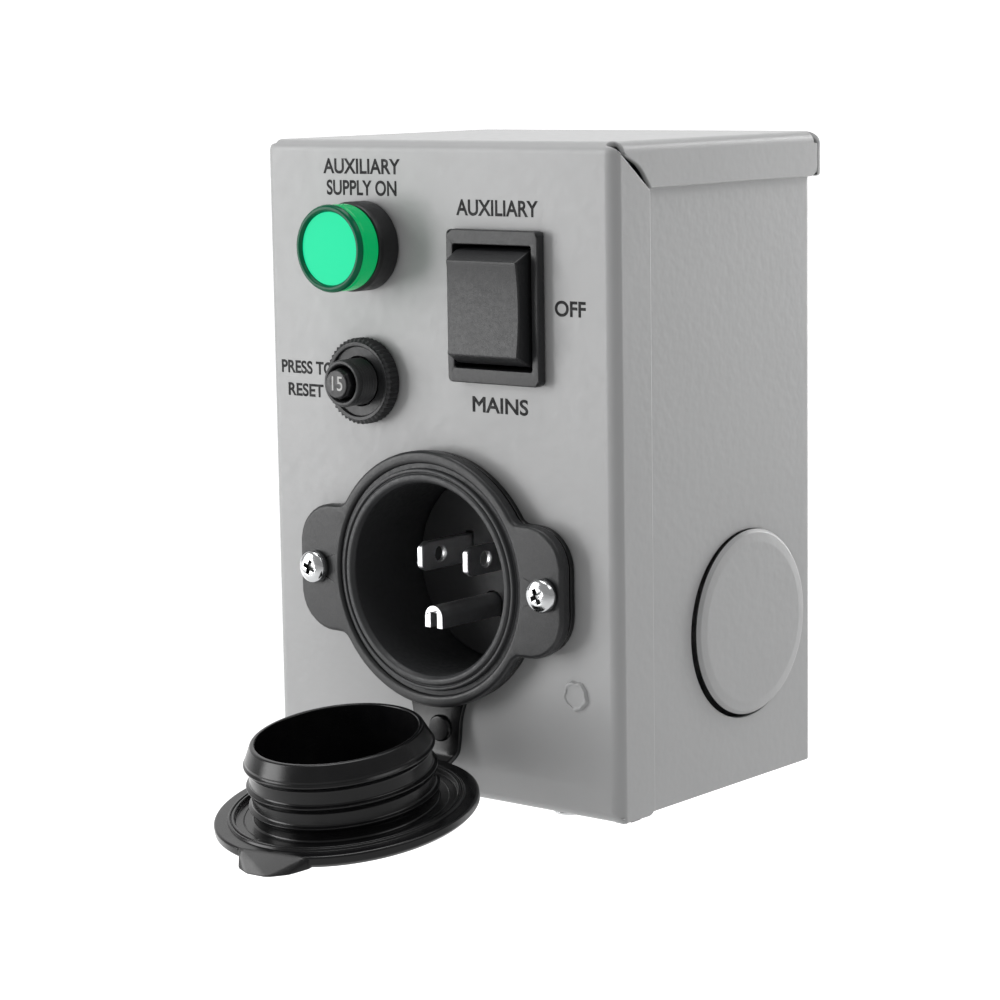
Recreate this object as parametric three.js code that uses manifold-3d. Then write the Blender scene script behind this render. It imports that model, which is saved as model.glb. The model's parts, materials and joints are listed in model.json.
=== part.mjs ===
// A wall-mounted generator inlet box: a folded sheet-metal box with a drip hood, a flanged mains inlet
// under a rubber weather lid, a push-to-reset breaker, a pilot lamp and a three-position rocker switch.
// Millimetres. X is right, Y is into the wall, Z is up. The origin is the centre of the wall pad's face.
import * as THREE from "three";
import { mergeVertices } from "three/addons/utils/BufferGeometryUtils.js";
import Module from "manifold-3d";

const wasm = await Module();
wasm.setup();

// ---- Driving dimensions ----
const BOX = { width: 96, height: 140.4, depth: 75.6 };
const SHEET = 1.2; // sheet thickness of the box and its cover
const BEND = 2; // outer radius of every fold
const GAP = 0.3; // clearance between pieces that touch
const COVER_FLANGE = 12.2; // depth of the cover's side flanges
const HOOD_FLANGE = 9.8; // height of the drip hood's flanges
const HOOD_CLEARANCE = 0.4; // from the hood's rear lip to the wall
const MITRE_GAP = 0.7;
const SIDE_CLEARANCE = 0.4; // between a cover flange and the side wall behind it
const PAD = { width: 40, height: 110, rise: 4 }; // embossed pad that stands on the wall
const KEYHOLE = { z: 42, head: 4, slot: 2.2, rise: 7 };

const FRONT = -BOX.depth; // outer face of the cover
const TOP = BOX.height / 2;
const BOTTOM = -TOP;
const SIDE = BOX.width / 2;
const SEAT = FRONT - GAP; // where a part that stands on the cover begins
const INSIDE = FRONT + SHEET; // inner face of the cover

const WALL_X = SIDE - SHEET - SIDE_CLEARANCE; // outer face of the box's side walls
const FLOOR_Z = BOTTOM + SHEET + SIDE_CLEARANCE; // underside of the box's floor
const ROOF_Z = TOP - SHEET - SIDE_CLEARANCE; // upper face of the box's roof
const BACK_Y = -PAD.rise; // outer face of the back panel

const KNOCKOUT = { radius: 20.3, y: -26.9, z: -34.9, proud: 1.6 };
const FLOOR_KNOCKOUT = { radius: 14, x: 14, y: -25.6 };

const LAMP = { x: -18.8, z: 47.7, ring: 9.6, ringDepth: 6.1, lens: 9.34, lensDepth: 6.0 };
const LAMP_BODY = { radius: 7.3, bore: 5.6, rear: -50 };
const LENS_HOLLOW = { radius: 7, wall: 1.6, edge: 0.8 };
const BREAKER = { x: -19, z: 18.7, nut: 9.33, nutDepth: 3.7, bush: 5.1, bushFront: 8.8, bore: 3.8 };
const BUTTON = { radius: 3.35, edge: 0.4, front: 10.4, length: 7, shaft: 1.6, collar: 4.2, collarRear: -57.5 };
const SWITCH = { x: 17.9, z: 36, width: 24.4, height: 32, rim: 2.3, openWidth: 20.8, openHeight: 25.8 };
const ROCKER = { width: 19.8, pivotDepth: 2.6, front: 6.2, chord: 9.85, dish: 0.8 };
const INLET = { x: 0.8, z: -22.5, mouth: 20.8, cup: 22.4, flange: 27.6, screwX: 31.75 };
const EAR = { x: 36.5, z: 14, corner: 9 }; // half sizes of the flange across its two ears
const LIP = { radius: 23.9, rise: 0.4 }; // raised ring round the inlet's mouth
const INLET_FRONT = FRONT - 5.5; // the lip's front face
const FLANGE_FRONT = INLET_FRONT + LIP.rise;
const FLANGE_REAR = FRONT - 2;
const BLADE = { spacing: 12.7, thickness: 1.5, width: 6.35, z: 3.6, tip: 0.2 };
const GROUND_PIN = { below: 11.9, radius: 2.4, tip: -3 };
const LID = { radius: 27.8, thickness: 2.65, face: 5.99, sleeve: 15.7, bore: 17.1, outer: 19.8, rib: 20.1 };
const RIB_HEIGHTS = [2.6, 7, 11.6]; // sealing ribs on the lid's sleeve
const RIB_HALF = 0.4;
const LUG = { left: -5.6, right: 9, depth: 2.1 }; // thumb lug under the lid's free edge
const LID_HINGE = { y: FRONT - 0.6, z: -55.2, open: THREE.MathUtils.degToRad(99.3) };
const STRAP_HALF = 7.3;
const STRAP_FOOT = -52.7; // where the strap parts from the gasket
const STUD = { x: 36.7, z: -44.1, head: 3.4, shank: 1.9 };
const SCREW = { head: 3.6, headHeight: 2.2, shank: 1.9, hole: 2.3 };
const COVER_SCREW_X = 30;

const ROUND = 32; // sides of a large round part
const SMALL_ROUND = 16;
const NUT_TEETH = 36;
const MERGE = 1e-4;

// ---- Finishes ----
const finish = (color, roughness, metalness) =>
  new THREE.MeshStandardMaterial({ color, roughness, metalness });
const FINISH = {
  paint: finish(0xc4c6c8, 0.5, 0.1),
  charcoal: finish(0x46474a, 0.65, 0),
  black: finish(0x161617, 0.45, 0),
  rubber: finish(0x101011, 0.35, 0),
  lens: finish(0x28f5aa, 0.3, 0),
  steel: finish(0xb9bcc0, 0.3, 1),
  brass: finish(0xc8a860, 0.35, 1),
  white: finish(0xe6e6e2, 0.5, 0),
  green: finish(0x2e8a3e, 0.5, 0),
};

// ---- Solids ----
function solidOf(geometry) {
  const bare = geometry.index ? geometry.toNonIndexed() : geometry.clone();
  bare.deleteAttribute("normal");
  bare.deleteAttribute("uv");
  const merged = mergeVertices(bare, MERGE);
  return new wasm.Manifold(
    new wasm.Mesh({
      numProp: 3,
      vertProperties: merged.attributes.position.array,
      triVerts: new Uint32Array(merged.index.array),
    }),
  );
}

function geometryOf(solid) {
  const mesh = solid.getMesh();
  const geometry = new THREE.BufferGeometry();
  geometry.setAttribute("position", new THREE.BufferAttribute(mesh.vertProperties.slice(), 3));
  geometry.setIndex(new THREE.BufferAttribute(mesh.triVerts.slice(), 1));
  return geometry.toNonIndexed();
}

const join = (...solids) => solids.reduce((all, next) => all.add(next));
const cut = (solid, ...tools) => tools.reduce((left, tool) => left.subtract(tool), solid);

// A block between two corners.
function block([x0, y0, z0], [x1, y1, z1]) {
  const geometry = new THREE.BoxGeometry(x1 - x0, y1 - y0, z1 - z0);
  return solidOf(geometry.translate((x0 + x1) / 2, (y0 + y1) / 2, (z0 + z1) / 2));
}

// A round bar along Y.
function barY(radius, x, z, y0, y1, sides = SMALL_ROUND) {
  const geometry = new THREE.CylinderGeometry(radius, radius, y1 - y0, sides);
  return solidOf(geometry.translate(x, (y0 + y1) / 2, z));
}

function barX(radius, y, z, x0, x1, sides = SMALL_ROUND) {
  const geometry = new THREE.CylinderGeometry(radius, radius, x1 - x0, sides).rotateZ(Math.PI / 2);
  return solidOf(geometry.translate((x0 + x1) / 2, y, z));
}

function barZ(radius, x, y, z0, z1, sides = SMALL_ROUND) {
  const geometry = new THREE.CylinderGeometry(radius, radius, z1 - z0, sides).rotateX(Math.PI / 2);
  return solidOf(geometry.translate(x, y, (z0 + z1) / 2));
}

// A turned part about an axis along Y, from [radius, y] points listed anticlockwise.
function turned(points, x, z, sides = ROUND) {
  const profile = points.map(([radius, y]) => new THREE.Vector2(radius, y));
  return solidOf(new THREE.LatheGeometry(profile, sides).translate(x, 0, z));
}

const ring = (inner, outer, x, z, y0, y1, sides = ROUND) =>
  turned([[inner, y0], [outer, y0], [outer, y1], [inner, y1], [inner, y0]], x, z, sides);

// An outline in XZ, given thickness along Y.
function plateY(shape, y0, y1, segments = 6) {
  const options = { depth: y1 - y0, bevelEnabled: false, curveSegments: segments };
  return solidOf(new THREE.ExtrudeGeometry(shape, options).rotateX(Math.PI / 2).translate(0, y1, 0));
}

// An outline in YZ, given thickness along X.
function plateX(shape, x0, x1, segments = 4) {
  const options = { depth: x1 - x0, bevelEnabled: false, curveSegments: segments };
  const turn = new THREE.Matrix4().makeBasis(
    new THREE.Vector3(0, 1, 0),
    new THREE.Vector3(0, 0, 1),
    new THREE.Vector3(1, 0, 0),
  );
  return solidOf(new THREE.ExtrudeGeometry(shape, options).applyMatrix4(turn).translate(x0, 0, 0));
}

const outline = (points) => new THREE.Shape(points.map(([u, v]) => new THREE.Vector2(u, v)));

function roundedRectangle(x, z, halfWidth, halfHeight, radius) {
  const shape = new THREE.Shape();
  const corner = (sx, sz, start) => {
    const end = start + Math.PI / 2;
    shape.absarc(x + sx * (halfWidth - radius), z + sz * (halfHeight - radius), radius, start, end);
  };
  corner(1, -1, -Math.PI / 2);
  corner(1, 1, 0);
  corner(-1, 1, Math.PI / 2);
  corner(-1, -1, Math.PI);
  shape.closePath();
  return shape;
}

function hexagon(x, z, acrossFlats) {
  const radius = acrossFlats / Math.sqrt(3);
  const corners = Array.from({ length: 6 }, (_, i) => (i * Math.PI) / 3);
  return outline(corners.map((a) => [x + radius * Math.cos(a), z + radius * Math.sin(a)]));
}

const part = new THREE.Group();

function place(name, material, solid, parent = part) {
  const mesh = new THREE.Mesh(geometryOf(solid), material);
  mesh.name = name;
  parent.add(mesh);
}

// ---- Sheet-metal cover ----
// A U channel in its own plane: the web lies on the u axis and the flanges point along +v.
function channel(halfWidth, flange) {
  const shape = new THREE.Shape();
  const inner = BEND - SHEET;
  shape.moveTo(-halfWidth, flange);
  shape.lineTo(-halfWidth, BEND);
  shape.absarc(-halfWidth + BEND, BEND, BEND, Math.PI, 1.5 * Math.PI);
  shape.absarc(halfWidth - BEND, BEND, BEND, 1.5 * Math.PI, 2 * Math.PI);
  shape.lineTo(halfWidth, flange);
  shape.lineTo(halfWidth - SHEET, flange);
  shape.absarc(halfWidth - BEND, BEND, inner, 0, -0.5 * Math.PI, true);
  shape.absarc(-halfWidth + BEND, BEND, inner, 1.5 * Math.PI, Math.PI, true);
  shape.lineTo(-halfWidth + SHEET, flange);
  shape.closePath();
  return new THREE.ExtrudeGeometry(shape, { depth: 1, bevelEnabled: false, curveSegments: 4 });
}

// The front, roof and rear lip in section, folded along lines that run across the box.
function coverSection() {
  const rear = -HOOD_CLEARANCE;
  const inner = BEND - SHEET;
  const shape = new THREE.Shape();
  shape.moveTo(FRONT, BOTTOM + BEND);
  shape.absarc(FRONT + BEND, BOTTOM + BEND, BEND, Math.PI, 1.5 * Math.PI);
  shape.lineTo(FRONT + COVER_FLANGE, BOTTOM);
  shape.lineTo(FRONT + COVER_FLANGE, BOTTOM + SHEET);
  shape.absarc(FRONT + BEND, BOTTOM + BEND, inner, 1.5 * Math.PI, Math.PI, true);
  shape.absarc(FRONT + BEND, TOP - BEND, inner, Math.PI, 0.5 * Math.PI, true);
  shape.absarc(rear - BEND, TOP - BEND, inner, 0.5 * Math.PI, 0, true);
  shape.lineTo(rear - SHEET, TOP - HOOD_FLANGE);
  shape.lineTo(rear, TOP - HOOD_FLANGE);
  shape.absarc(rear - BEND, TOP - BEND, BEND, 0, 0.5 * Math.PI);
  shape.absarc(FRONT + BEND, TOP - BEND, BEND, 0.5 * Math.PI, Math.PI);
  shape.closePath();
  return shape;
}

// The side flanges in side view: the front one and the hood's, parted by a mitre at the top front corner.
function frontFlangeOutline() {
  const rear = FRONT + COVER_FLANGE;
  const shape = new THREE.Shape();
  shape.moveTo(FRONT, BOTTOM);
  shape.lineTo(rear - BEND, BOTTOM);
  shape.absarc(rear - BEND, BOTTOM + BEND, BEND, -0.5 * Math.PI, 0);
  shape.lineTo(rear, TOP - HOOD_FLANGE - MITRE_GAP / 2);
  shape.lineTo(FRONT + BEND, TOP - BEND - MITRE_GAP / 2);
  shape.lineTo(FRONT, TOP - BEND - MITRE_GAP / 2);
  shape.closePath();
  return shape;
}

function hoodFlangeOutline() {
  const rear = -HOOD_CLEARANCE;
  const radius = 2.5;
  const shape = new THREE.Shape();
  shape.moveTo(FRONT + COVER_FLANGE + MITRE_GAP / 2, TOP - HOOD_FLANGE);
  shape.lineTo(rear - radius, TOP - HOOD_FLANGE);
  shape.absarc(rear - radius, TOP - HOOD_FLANGE + radius, radius, -0.5 * Math.PI, 0);
  shape.lineTo(rear, TOP);
  shape.lineTo(FRONT + BEND + MITRE_GAP, TOP);
  shape.lineTo(FRONT + BEND + MITRE_GAP, TOP - BEND + MITRE_GAP / 2);
  shape.closePath();
  return shape;
}

function coverHoles() {
  const half = SWITCH_BODY.width / 2 + GAP;
  const high = SWITCH_BODY.height / 2 + GAP;
  const hole = (radius, x, z, sides) => barY(radius, x, z, FRONT - 1, INSIDE + 1, sides);
  return [
    hole(LAMP_BODY.radius + GAP, LAMP.x, LAMP.z, ROUND),
    hole(BREAKER.bush + GAP, BREAKER.x, BREAKER.z, ROUND),
    hole(INLET.cup + 0.5, INLET.x, INLET.z, ROUND),
    hole(SCREW.hole, INLET.x - INLET.screwX, INLET.z),
    hole(SCREW.hole, INLET.x + INLET.screwX, INLET.z),
    hole(STUD.shank + GAP, STUD.x, STUD.z),
    block([SWITCH.x - half, FRONT - 1, SWITCH.z - high], [SWITCH.x + half, INSIDE + 1, SWITCH.z + high]),
  ];
}

function makeCover() {
  const folded = plateX(coverSection(), -SIDE + BEND, SIDE - BEND);
  const lipEnds = [-1, 1].map((side) =>
    block([side > 0 ? WALL_X - SHEET - GAP : -SIDE, INSIDE, BOTTOM - 1],
      [side > 0 ? SIDE : -WALL_X + SHEET + GAP, FRONT + COVER_FLANGE + 1, BOTTOM + BEND]));
  const height = TOP - BOTTOM;
  const front = solidOf(channel(SIDE, COVER_FLANGE).scale(1, 1, height).translate(0, FRONT, BOTTOM));
  const length = -HOOD_CLEARANCE - FRONT;
  const hood = solidOf(channel(SIDE, HOOD_FLANGE).rotateX(-Math.PI / 2)
    .scale(1, length, 1).translate(0, FRONT, TOP));
  const sides = join(
    front.intersect(plateX(frontFlangeOutline(), -SIDE - 1, SIDE + 1)),
    hood.intersect(plateX(hoodFlangeOutline(), -SIDE - 1, SIDE + 1)),
  );
  const web = block([-SIDE + BEND, FRONT - 1, BOTTOM - 1], [SIDE - BEND, 1, TOP + 1]);
  const screwHoles = [-1, 1].map((side) =>
    barZ(SCREW.hole, side * COVER_SCREW_X, FRONT + COVER_FLANGE / 2, BOTTOM - 1, BOTTOM + SHEET + 1));
  return cut(join(cut(folded, ...lipEnds), cut(sides, web)), ...coverHoles(), ...screwHoles);
}

// ---- Box behind the cover ----
function keyhole(z) {
  const head = barY(KEYHOLE.head, 0, z, -SHEET - 1, 1);
  const slotEnd = barY(KEYHOLE.slot, 0, z + KEYHOLE.rise, -SHEET - 1, 1);
  const slot = block([-KEYHOLE.slot, -SHEET - 1, z], [KEYHOLE.slot, 1, z + KEYHOLE.rise]);
  return join(head, slotEnd, slot);
}

function makeBackBox() {
  const front = INSIDE + SIDE_CLEARANCE;
  const shell = cut(
    block([-WALL_X, front, FLOOR_Z], [WALL_X, BACK_Y, ROOF_Z]),
    block([-WALL_X + SHEET, front - 1, FLOOR_Z + SHEET], [WALL_X - SHEET, BACK_Y - SHEET, ROOF_Z - SHEET]),
  );
  const skirts = [-1, 1].map((side) =>
    block([side > 0 ? WALL_X - SHEET : -WALL_X, front, BOTTOM],
      [side > 0 ? WALL_X : -WALL_X + SHEET, BACK_Y, FLOOR_Z + SHEET]));
  const pad = plateY(roundedRectangle(0, 0, PAD.width / 2, PAD.height / 2, 4), BACK_Y - SHEET, 0);
  const recess = plateY(
    roundedRectangle(0, 0, PAD.width / 2 - SHEET, PAD.height / 2 - SHEET, 3), BACK_Y - SHEET - 1, -SHEET);
  const sideHoles = [-1, 1].map((side) =>
    barX(KNOCKOUT.radius + GAP, KNOCKOUT.y, KNOCKOUT.z, side > 0 ? WALL_X - 3 : -WALL_X - 1,
      side > 0 ? WALL_X + 1 : -WALL_X + 3, ROUND));
  const floorHole = barZ(FLOOR_KNOCKOUT.radius + GAP, FLOOR_KNOCKOUT.x, FLOOR_KNOCKOUT.y,
    FLOOR_Z - 2, FLOOR_Z + SHEET + 1, ROUND);
  const screwHoles = [-1, 1].map((side) =>
    barZ(SCREW.hole, side * COVER_SCREW_X, FRONT + COVER_FLANGE / 2, FLOOR_Z - 1, FLOOR_Z + SHEET + 1));
  const walls = cut(join(shell, ...skirts, pad), recess);
  return cut(walls, keyhole(KEYHOLE.z), keyhole(-KEYHOLE.z), ...sideHoles, floorHole, ...screwHoles);
}

function placeKnockouts() {
  const outer = WALL_X + KNOCKOUT.proud;
  place("side_knockout_right", FINISH.paint,
    barX(KNOCKOUT.radius, KNOCKOUT.y, KNOCKOUT.z, outer - SHEET, outer, ROUND));
  place("side_knockout_left", FINISH.paint,
    barX(KNOCKOUT.radius, KNOCKOUT.y, KNOCKOUT.z, -outer, -outer + SHEET, ROUND));
  place("bottom_knockout", FINISH.paint,
    barZ(FLOOR_KNOCKOUT.radius, FLOOR_KNOCKOUT.x, FLOOR_KNOCKOUT.y, FLOOR_Z, FLOOR_Z + SHEET, ROUND));
}

function placeCoverScrews() {
  const y = FRONT + COVER_FLANGE / 2;
  const seat = BOTTOM - GAP;
  [["left", -1], ["right", 1]].forEach(([name, side]) => {
    const x = side * COVER_SCREW_X;
    const head = barZ(SCREW.head, x, y, seat - 1.8, seat);
    place("cover_screw_" + name, FINISH.steel, join(head, barZ(SCREW.shank, x, y, seat - 1, seat + 9)));
  });
}

// ---- Ground stud ----
function placeGround() {
  const { x, z, shank } = STUD;
  const head = barY(STUD.head, x, z, SEAT - 0.4, SEAT, ROUND);
  place("ground_stud", FINISH.paint, join(head, barY(shank, x, z, SEAT - 0.2, INSIDE + 12)));
  const lug = INSIDE + 1;
  const tongue = block([x - 9, lug, z - 2], [x - 3.5, lug + 0.8, z + 2]);
  const eye = ring(shank + GAP, 4.2, x, z, lug, lug + 0.8, SMALL_ROUND);
  place("ground_ring", FINISH.steel, join(eye, tongue));
  const nut = plateY(hexagon(x, z, 8), lug + 1.2, lug + 4.2);
  place("ground_nut", FINISH.steel, cut(nut, barY(shank + GAP, x, z, lug, lug + 6)));
}

// ---- Pilot lamp ----
function placeLamp() {
  const { x, z } = LAMP;
  const ringFront = FRONT - LAMP.ringDepth;
  const lensRear = ringFront - GAP;
  const lensFront = lensRear - LAMP.lensDepth;
  place("lamp_bezel", FINISH.black, ring(LAMP_BODY.radius + 0.4, LAMP.ring, x, z, ringFront, SEAT));
  const { radius: hollow, wall, edge } = LENS_HOLLOW;
  place("lamp_lens", FINISH.lens, turned([
    [0, lensFront], [LAMP.lens - edge, lensFront], [LAMP.lens, lensFront + edge], [LAMP.lens, lensRear],
    [hollow, lensRear], [hollow, lensFront + wall], [0, lensFront + wall],
  ], x, z));
  const { bore, rear } = LAMP_BODY;
  const bodyFront = ringFront + GAP;
  place("lamp_body", FINISH.black, turned([
    [bore, bodyFront], [LAMP_BODY.radius, bodyFront], [LAMP_BODY.radius, rear], [0, rear], [0, rear - 2],
    [bore, rear - 2], [bore, bodyFront],
  ], x, z, ROUND));
  const nut = plateY(hexagon(x, z, 18), INSIDE + GAP, INSIDE + 4);
  place("lamp_nut", FINISH.black, cut(nut, barY(LAMP_BODY.radius + GAP, x, z, INSIDE - 1, INSIDE + 5, ROUND)));
  place("lamp_led", FINISH.white, turned([
    [0, lensRear - 1], [1.6, lensRear], [2.5, lensRear + 2], [2.5, -60], [0, -60],
  ], x, z, SMALL_ROUND));
  [["line", -3], ["neutral", 3]].forEach(([name, offset]) => {
    place("lamp_tab_" + name, FINISH.steel,
      block([x + offset - 0.4, rear + GAP, z - 1.4], [x + offset + 0.4, rear + 7, z + 1.4]));
  });
}

// ---- Push-to-reset breaker ----
const CASE = { halfX: 7.5, halfZ: 16, front: INSIDE + 1.7, rear: -45, tabZ: 10 };

function knurledNut() {
  const { x, z, nut } = BREAKER;
  const steps = Array.from({ length: 2 * NUT_TEETH }, (_, i) => i);
  const points = steps.map((i) => {
    const angle = (i * Math.PI) / NUT_TEETH;
    const radius = nut - (i % 2) * 0.35;
    return [x + radius * Math.cos(angle), z + radius * Math.sin(angle)];
  });
  const blank = plateY(outline(points), FRONT - BREAKER.nutDepth, SEAT);
  return cut(blank, barY(BREAKER.bush + GAP, x, z, FRONT - 6, FRONT + 1, ROUND));
}

function helix(radius, y0, y1, turns, x, z) {
  const steps = turns * 12;
  const points = Array.from({ length: steps + 1 }, (_, i) => {
    const angle = (i * 2 * Math.PI * turns) / steps;
    return new THREE.Vector3(x + radius * Math.cos(angle), y0 + ((y1 - y0) * i) / steps,
      z + radius * Math.sin(angle));
  });
  return new THREE.CatmullRomCurve3(points);
}

// A round section swept along a curve.
function swept(curve, radius, sides, steps) {
  const angles = Array.from({ length: sides }, (_, i) => (i * 2 * Math.PI) / sides);
  const section = outline(angles.map((a) => [radius * Math.cos(a), radius * Math.sin(a)]));
  return solidOf(new THREE.ExtrudeGeometry(section, { steps, bevelEnabled: false, extrudePath: curve }));
}

function placeBreaker() {
  const { x, z, bush, bore } = BREAKER;
  place("breaker_nut", FINISH.charcoal, knurledNut());
  place("breaker_washer", FINISH.steel,
    ring(bush + GAP, 8, x, z, INSIDE + GAP, CASE.front - GAP, SMALL_ROUND));
  const hollow = { front: CASE.front + 1, rear: -54, radius: 5 };
  const body = join(
    block([x - CASE.halfX, CASE.front, z - CASE.halfZ], [x + CASE.halfX, CASE.rear, z + CASE.halfZ]),
    barY(bush, x, z, FRONT - BREAKER.bushFront, CASE.front + 0.5, ROUND),
  );
  place("breaker_case", FINISH.black, cut(body,
    barY(bore, x, z, FRONT - BREAKER.bushFront - 1, hollow.front + 0.5, SMALL_ROUND),
    barY(hollow.radius, x, z, hollow.front, hollow.rear, SMALL_ROUND)));
  const { radius, edge, length, shaft, collar, collarRear } = BUTTON;
  const head = FRONT - BUTTON.front;
  const collarFront = collarRear - 1.5;
  place("breaker_button", FINISH.black, turned([
    [0, head], [radius - edge, head], [radius, head + edge], [radius, head + length],
    [shaft, head + length + 1], [shaft, collarFront], [collar, collarFront], [collar, collarRear],
    [0, collarRear],
  ], x, z, 20));
  place("breaker_spring", FINISH.steel, swept(helix(3, -71, -62.5, 4, x, z), 0.4, 6, 56));
  [["line", -1], ["load", 1]].forEach(([name, side]) => {
    const middle = z + side * CASE.tabZ;
    place("breaker_tab_" + name, FINISH.steel,
      block([x - 3.1, CASE.rear + GAP, middle - 0.4], [x + 3.1, CASE.rear + 8, middle + 0.4]));
  });
}

// ---- Three-position rocker switch ----
const SWITCH_BODY = { width: 22.4, height: 29.6, rear: -47, floor: -50 };
const CONTACT = { y: -57, half: 0.5, length: 9.5, x: 5, width: 2.2 };
const TAB = { halfX: 2.4, halfZ: 0.4, rows: { top: 8.5, middle: 0, bottom: -8.5 }, rear: -38 };
const PIVOT_Y = FRONT + ROCKER.pivotDepth;

function makeSwitchHousing() {
  const { x, z } = SWITCH;
  const half = SWITCH_BODY.width / 2;
  const high = SWITCH_BODY.height / 2;
  const border = roundedRectangle(x, z, SWITCH.width / 2, SWITCH.height / 2, 1.2);
  const rim = plateY(border, SEAT - SWITCH.rim, SEAT);
  const body = block([x - half, SEAT - 0.5, z - high], [x + half, SWITCH_BODY.rear, z + high]);
  const mouth = block(
    [x - SWITCH.openWidth / 2, SEAT - 5, z - SWITCH.openHeight / 2],
    [x + SWITCH.openWidth / 2, SWITCH_BODY.floor, z + SWITCH.openHeight / 2]);
  const slots = Object.values(TAB.rows).flatMap((row) => [-1, 1].map((side) => {
    const middle = x + side * CONTACT.x;
    return block([middle - TAB.halfX - GAP, -60, z + row - TAB.halfZ - GAP],
      [middle + TAB.halfX + GAP, -40, z + row + TAB.halfZ + GAP]);
  }));
  const pinHole = barX(1.6, PIVOT_Y, z, x - half - 1, x + half + 1);
  return cut(join(rim, body), mouth, pinHole, ...slots);
}

function rockerOutline() {
  const at = (depth, height) => [FRONT + depth, SWITCH.z + height];
  const { front, chord, dish } = ROCKER;
  const side = [[-front, chord], [-2.6, 11.7], [0, 12.2], [2.6, 12.2], [6, 10.5], [9, 4], [13.5, 2]];
  const upper = side.map(([depth, height]) => at(depth, height));
  const lower = side.map(([depth, height]) => at(depth, -height)).reverse();
  const dished = [-0.6, 0, 0.6].map((t) => at(-front + dish * (1 - t * t), t * chord));
  return outline([...upper, ...lower, ...dished].reverse());
}

function placeSwitch() {
  const { x, z } = SWITCH;
  place("switch_housing", FINISH.charcoal, makeSwitchHousing());
  const rocker = plateX(rockerOutline(), x - ROCKER.width / 2, x + ROCKER.width / 2);
  place("switch_rocker", FINISH.charcoal, cut(rocker, barX(1.6, PIVOT_Y, z, x - 12, x + 12)));
  place("switch_pin", FINISH.steel, barX(1.25, PIVOT_Y, z, x - 10.8, x + 10.8));
  [["left", -1], ["right", 1]].forEach(([column, side]) => {
    const middle = x + side * CONTACT.x;
    place("switch_contact_" + column, FINISH.brass, block(
      [middle - CONTACT.width, CONTACT.y - CONTACT.half, z - CONTACT.length],
      [middle + CONTACT.width, CONTACT.y + CONTACT.half, z + CONTACT.length]));
    Object.entries(TAB.rows).forEach(([row, height]) => {
      const front = CONTACT.y + CONTACT.half + (height === 0 ? 0.4 : 1.4);
      place(`switch_tab_${column}_${row}`, FINISH.brass, block(
        [middle - TAB.halfX, front, z + height - TAB.halfZ],
        [middle + TAB.halfX, TAB.rear, z + height + TAB.halfZ]));
    });
  });
}

// ---- Flanged inlet ----
const CUP_FLOOR = FRONT + 20.3; // front face of the cup's floor
const INSERT = { front: FRONT + 17, rear: CUP_FLOOR - GAP, radius: 20.4 };
const INLET_BODY = { radius: 18, rear: -43 };
const CONDUCTOR_REAR = -39;

// The flange and the gasket under it share one outline: a disc with two ears.
function earedDisc(inset, y0, y1) {
  const { x, z, flange } = INLET;
  return join(
    barY(flange - inset, x, z, y0, y1, ROUND),
    plateY(roundedRectangle(x, z, EAR.x - inset, EAR.z - inset, EAR.corner), y0, y1),
  );
}

function screwHolesThrough(y0, y1) {
  return [-1, 1].map((side) => barY(SCREW.hole, INLET.x + side * INLET.screwX, INLET.z, y0, y1));
}

const bladeZ = INLET.z + BLADE.z;
const pinZ = bladeZ - GROUND_PIN.below;

function bladeBlock(side, grow, y0, y1) {
  const x = INLET.x + (side * BLADE.spacing) / 2;
  const halfX = BLADE.thickness / 2 + grow;
  const halfZ = BLADE.width / 2 + grow;
  return block([x - halfX, y0, bladeZ - halfZ], [x + halfX, y1, bladeZ + halfZ]);
}

// The ground pin's section is a hoop, open below.
function pinOutline(grow) {
  const radius = GROUND_PIN.radius + grow;
  const shape = new THREE.Shape();
  shape.moveTo(INLET.x + radius, pinZ - radius);
  shape.lineTo(INLET.x + radius, pinZ);
  shape.absarc(INLET.x, pinZ, radius, 0, Math.PI);
  shape.lineTo(INLET.x - radius, pinZ - radius);
  shape.closePath();
  return shape;
}

const conductorSlots = () => [
  bladeBlock(-1, GAP, -66, -30),
  bladeBlock(1, GAP, -66, -30),
  plateY(pinOutline(GAP), -66, -30),
];

function makeInletHousing() {
  const { x, z, mouth, cup } = INLET;
  const wall = ring(mouth, cup, x, z, INLET_FRONT, CUP_FLOOR);
  const base = barY(INLET_BODY.radius, x, z, CUP_FLOOR, INLET_BODY.rear, ROUND);
  const floor = barY(cup, x, z, CUP_FLOOR - 0.1, CUP_FLOOR + 3, ROUND);
  const lip = ring(mouth, LIP.radius, x, z, INLET_FRONT, FLANGE_FRONT + 1);
  const flange = cut(earedDisc(0, FLANGE_FRONT, FLANGE_REAR),
    barY(mouth + 0.8, x, z, INLET_FRONT - 1, FLANGE_REAR + 1, ROUND));
  const hollow = barY(mouth, x, z, CUP_FLOOR - 1, CUP_FLOOR, ROUND);
  return cut(join(flange, lip, wall, floor, base), hollow, ...conductorSlots(),
    ...screwHolesThrough(FLANGE_FRONT - 1, FLANGE_REAR + 1));
}

function makeBlade(side) {
  const tip = FRONT + BLADE.tip;
  const x = INLET.x + (side * BLADE.spacing) / 2;
  const taper = outline([
    [tip, bladeZ - 2.3], [tip + 1.6, bladeZ - BLADE.width / 2], [CONDUCTOR_REAR, bladeZ - BLADE.width / 2],
    [CONDUCTOR_REAR, bladeZ + BLADE.width / 2], [tip + 1.6, bladeZ + BLADE.width / 2], [tip, bladeZ + 2.3],
  ]);
  const blade = plateX(taper, x - BLADE.thickness / 2, x + BLADE.thickness / 2);
  return cut(blade, barX(1.75, tip + 6.2, bladeZ, x - 2, x + 2));
}

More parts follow.
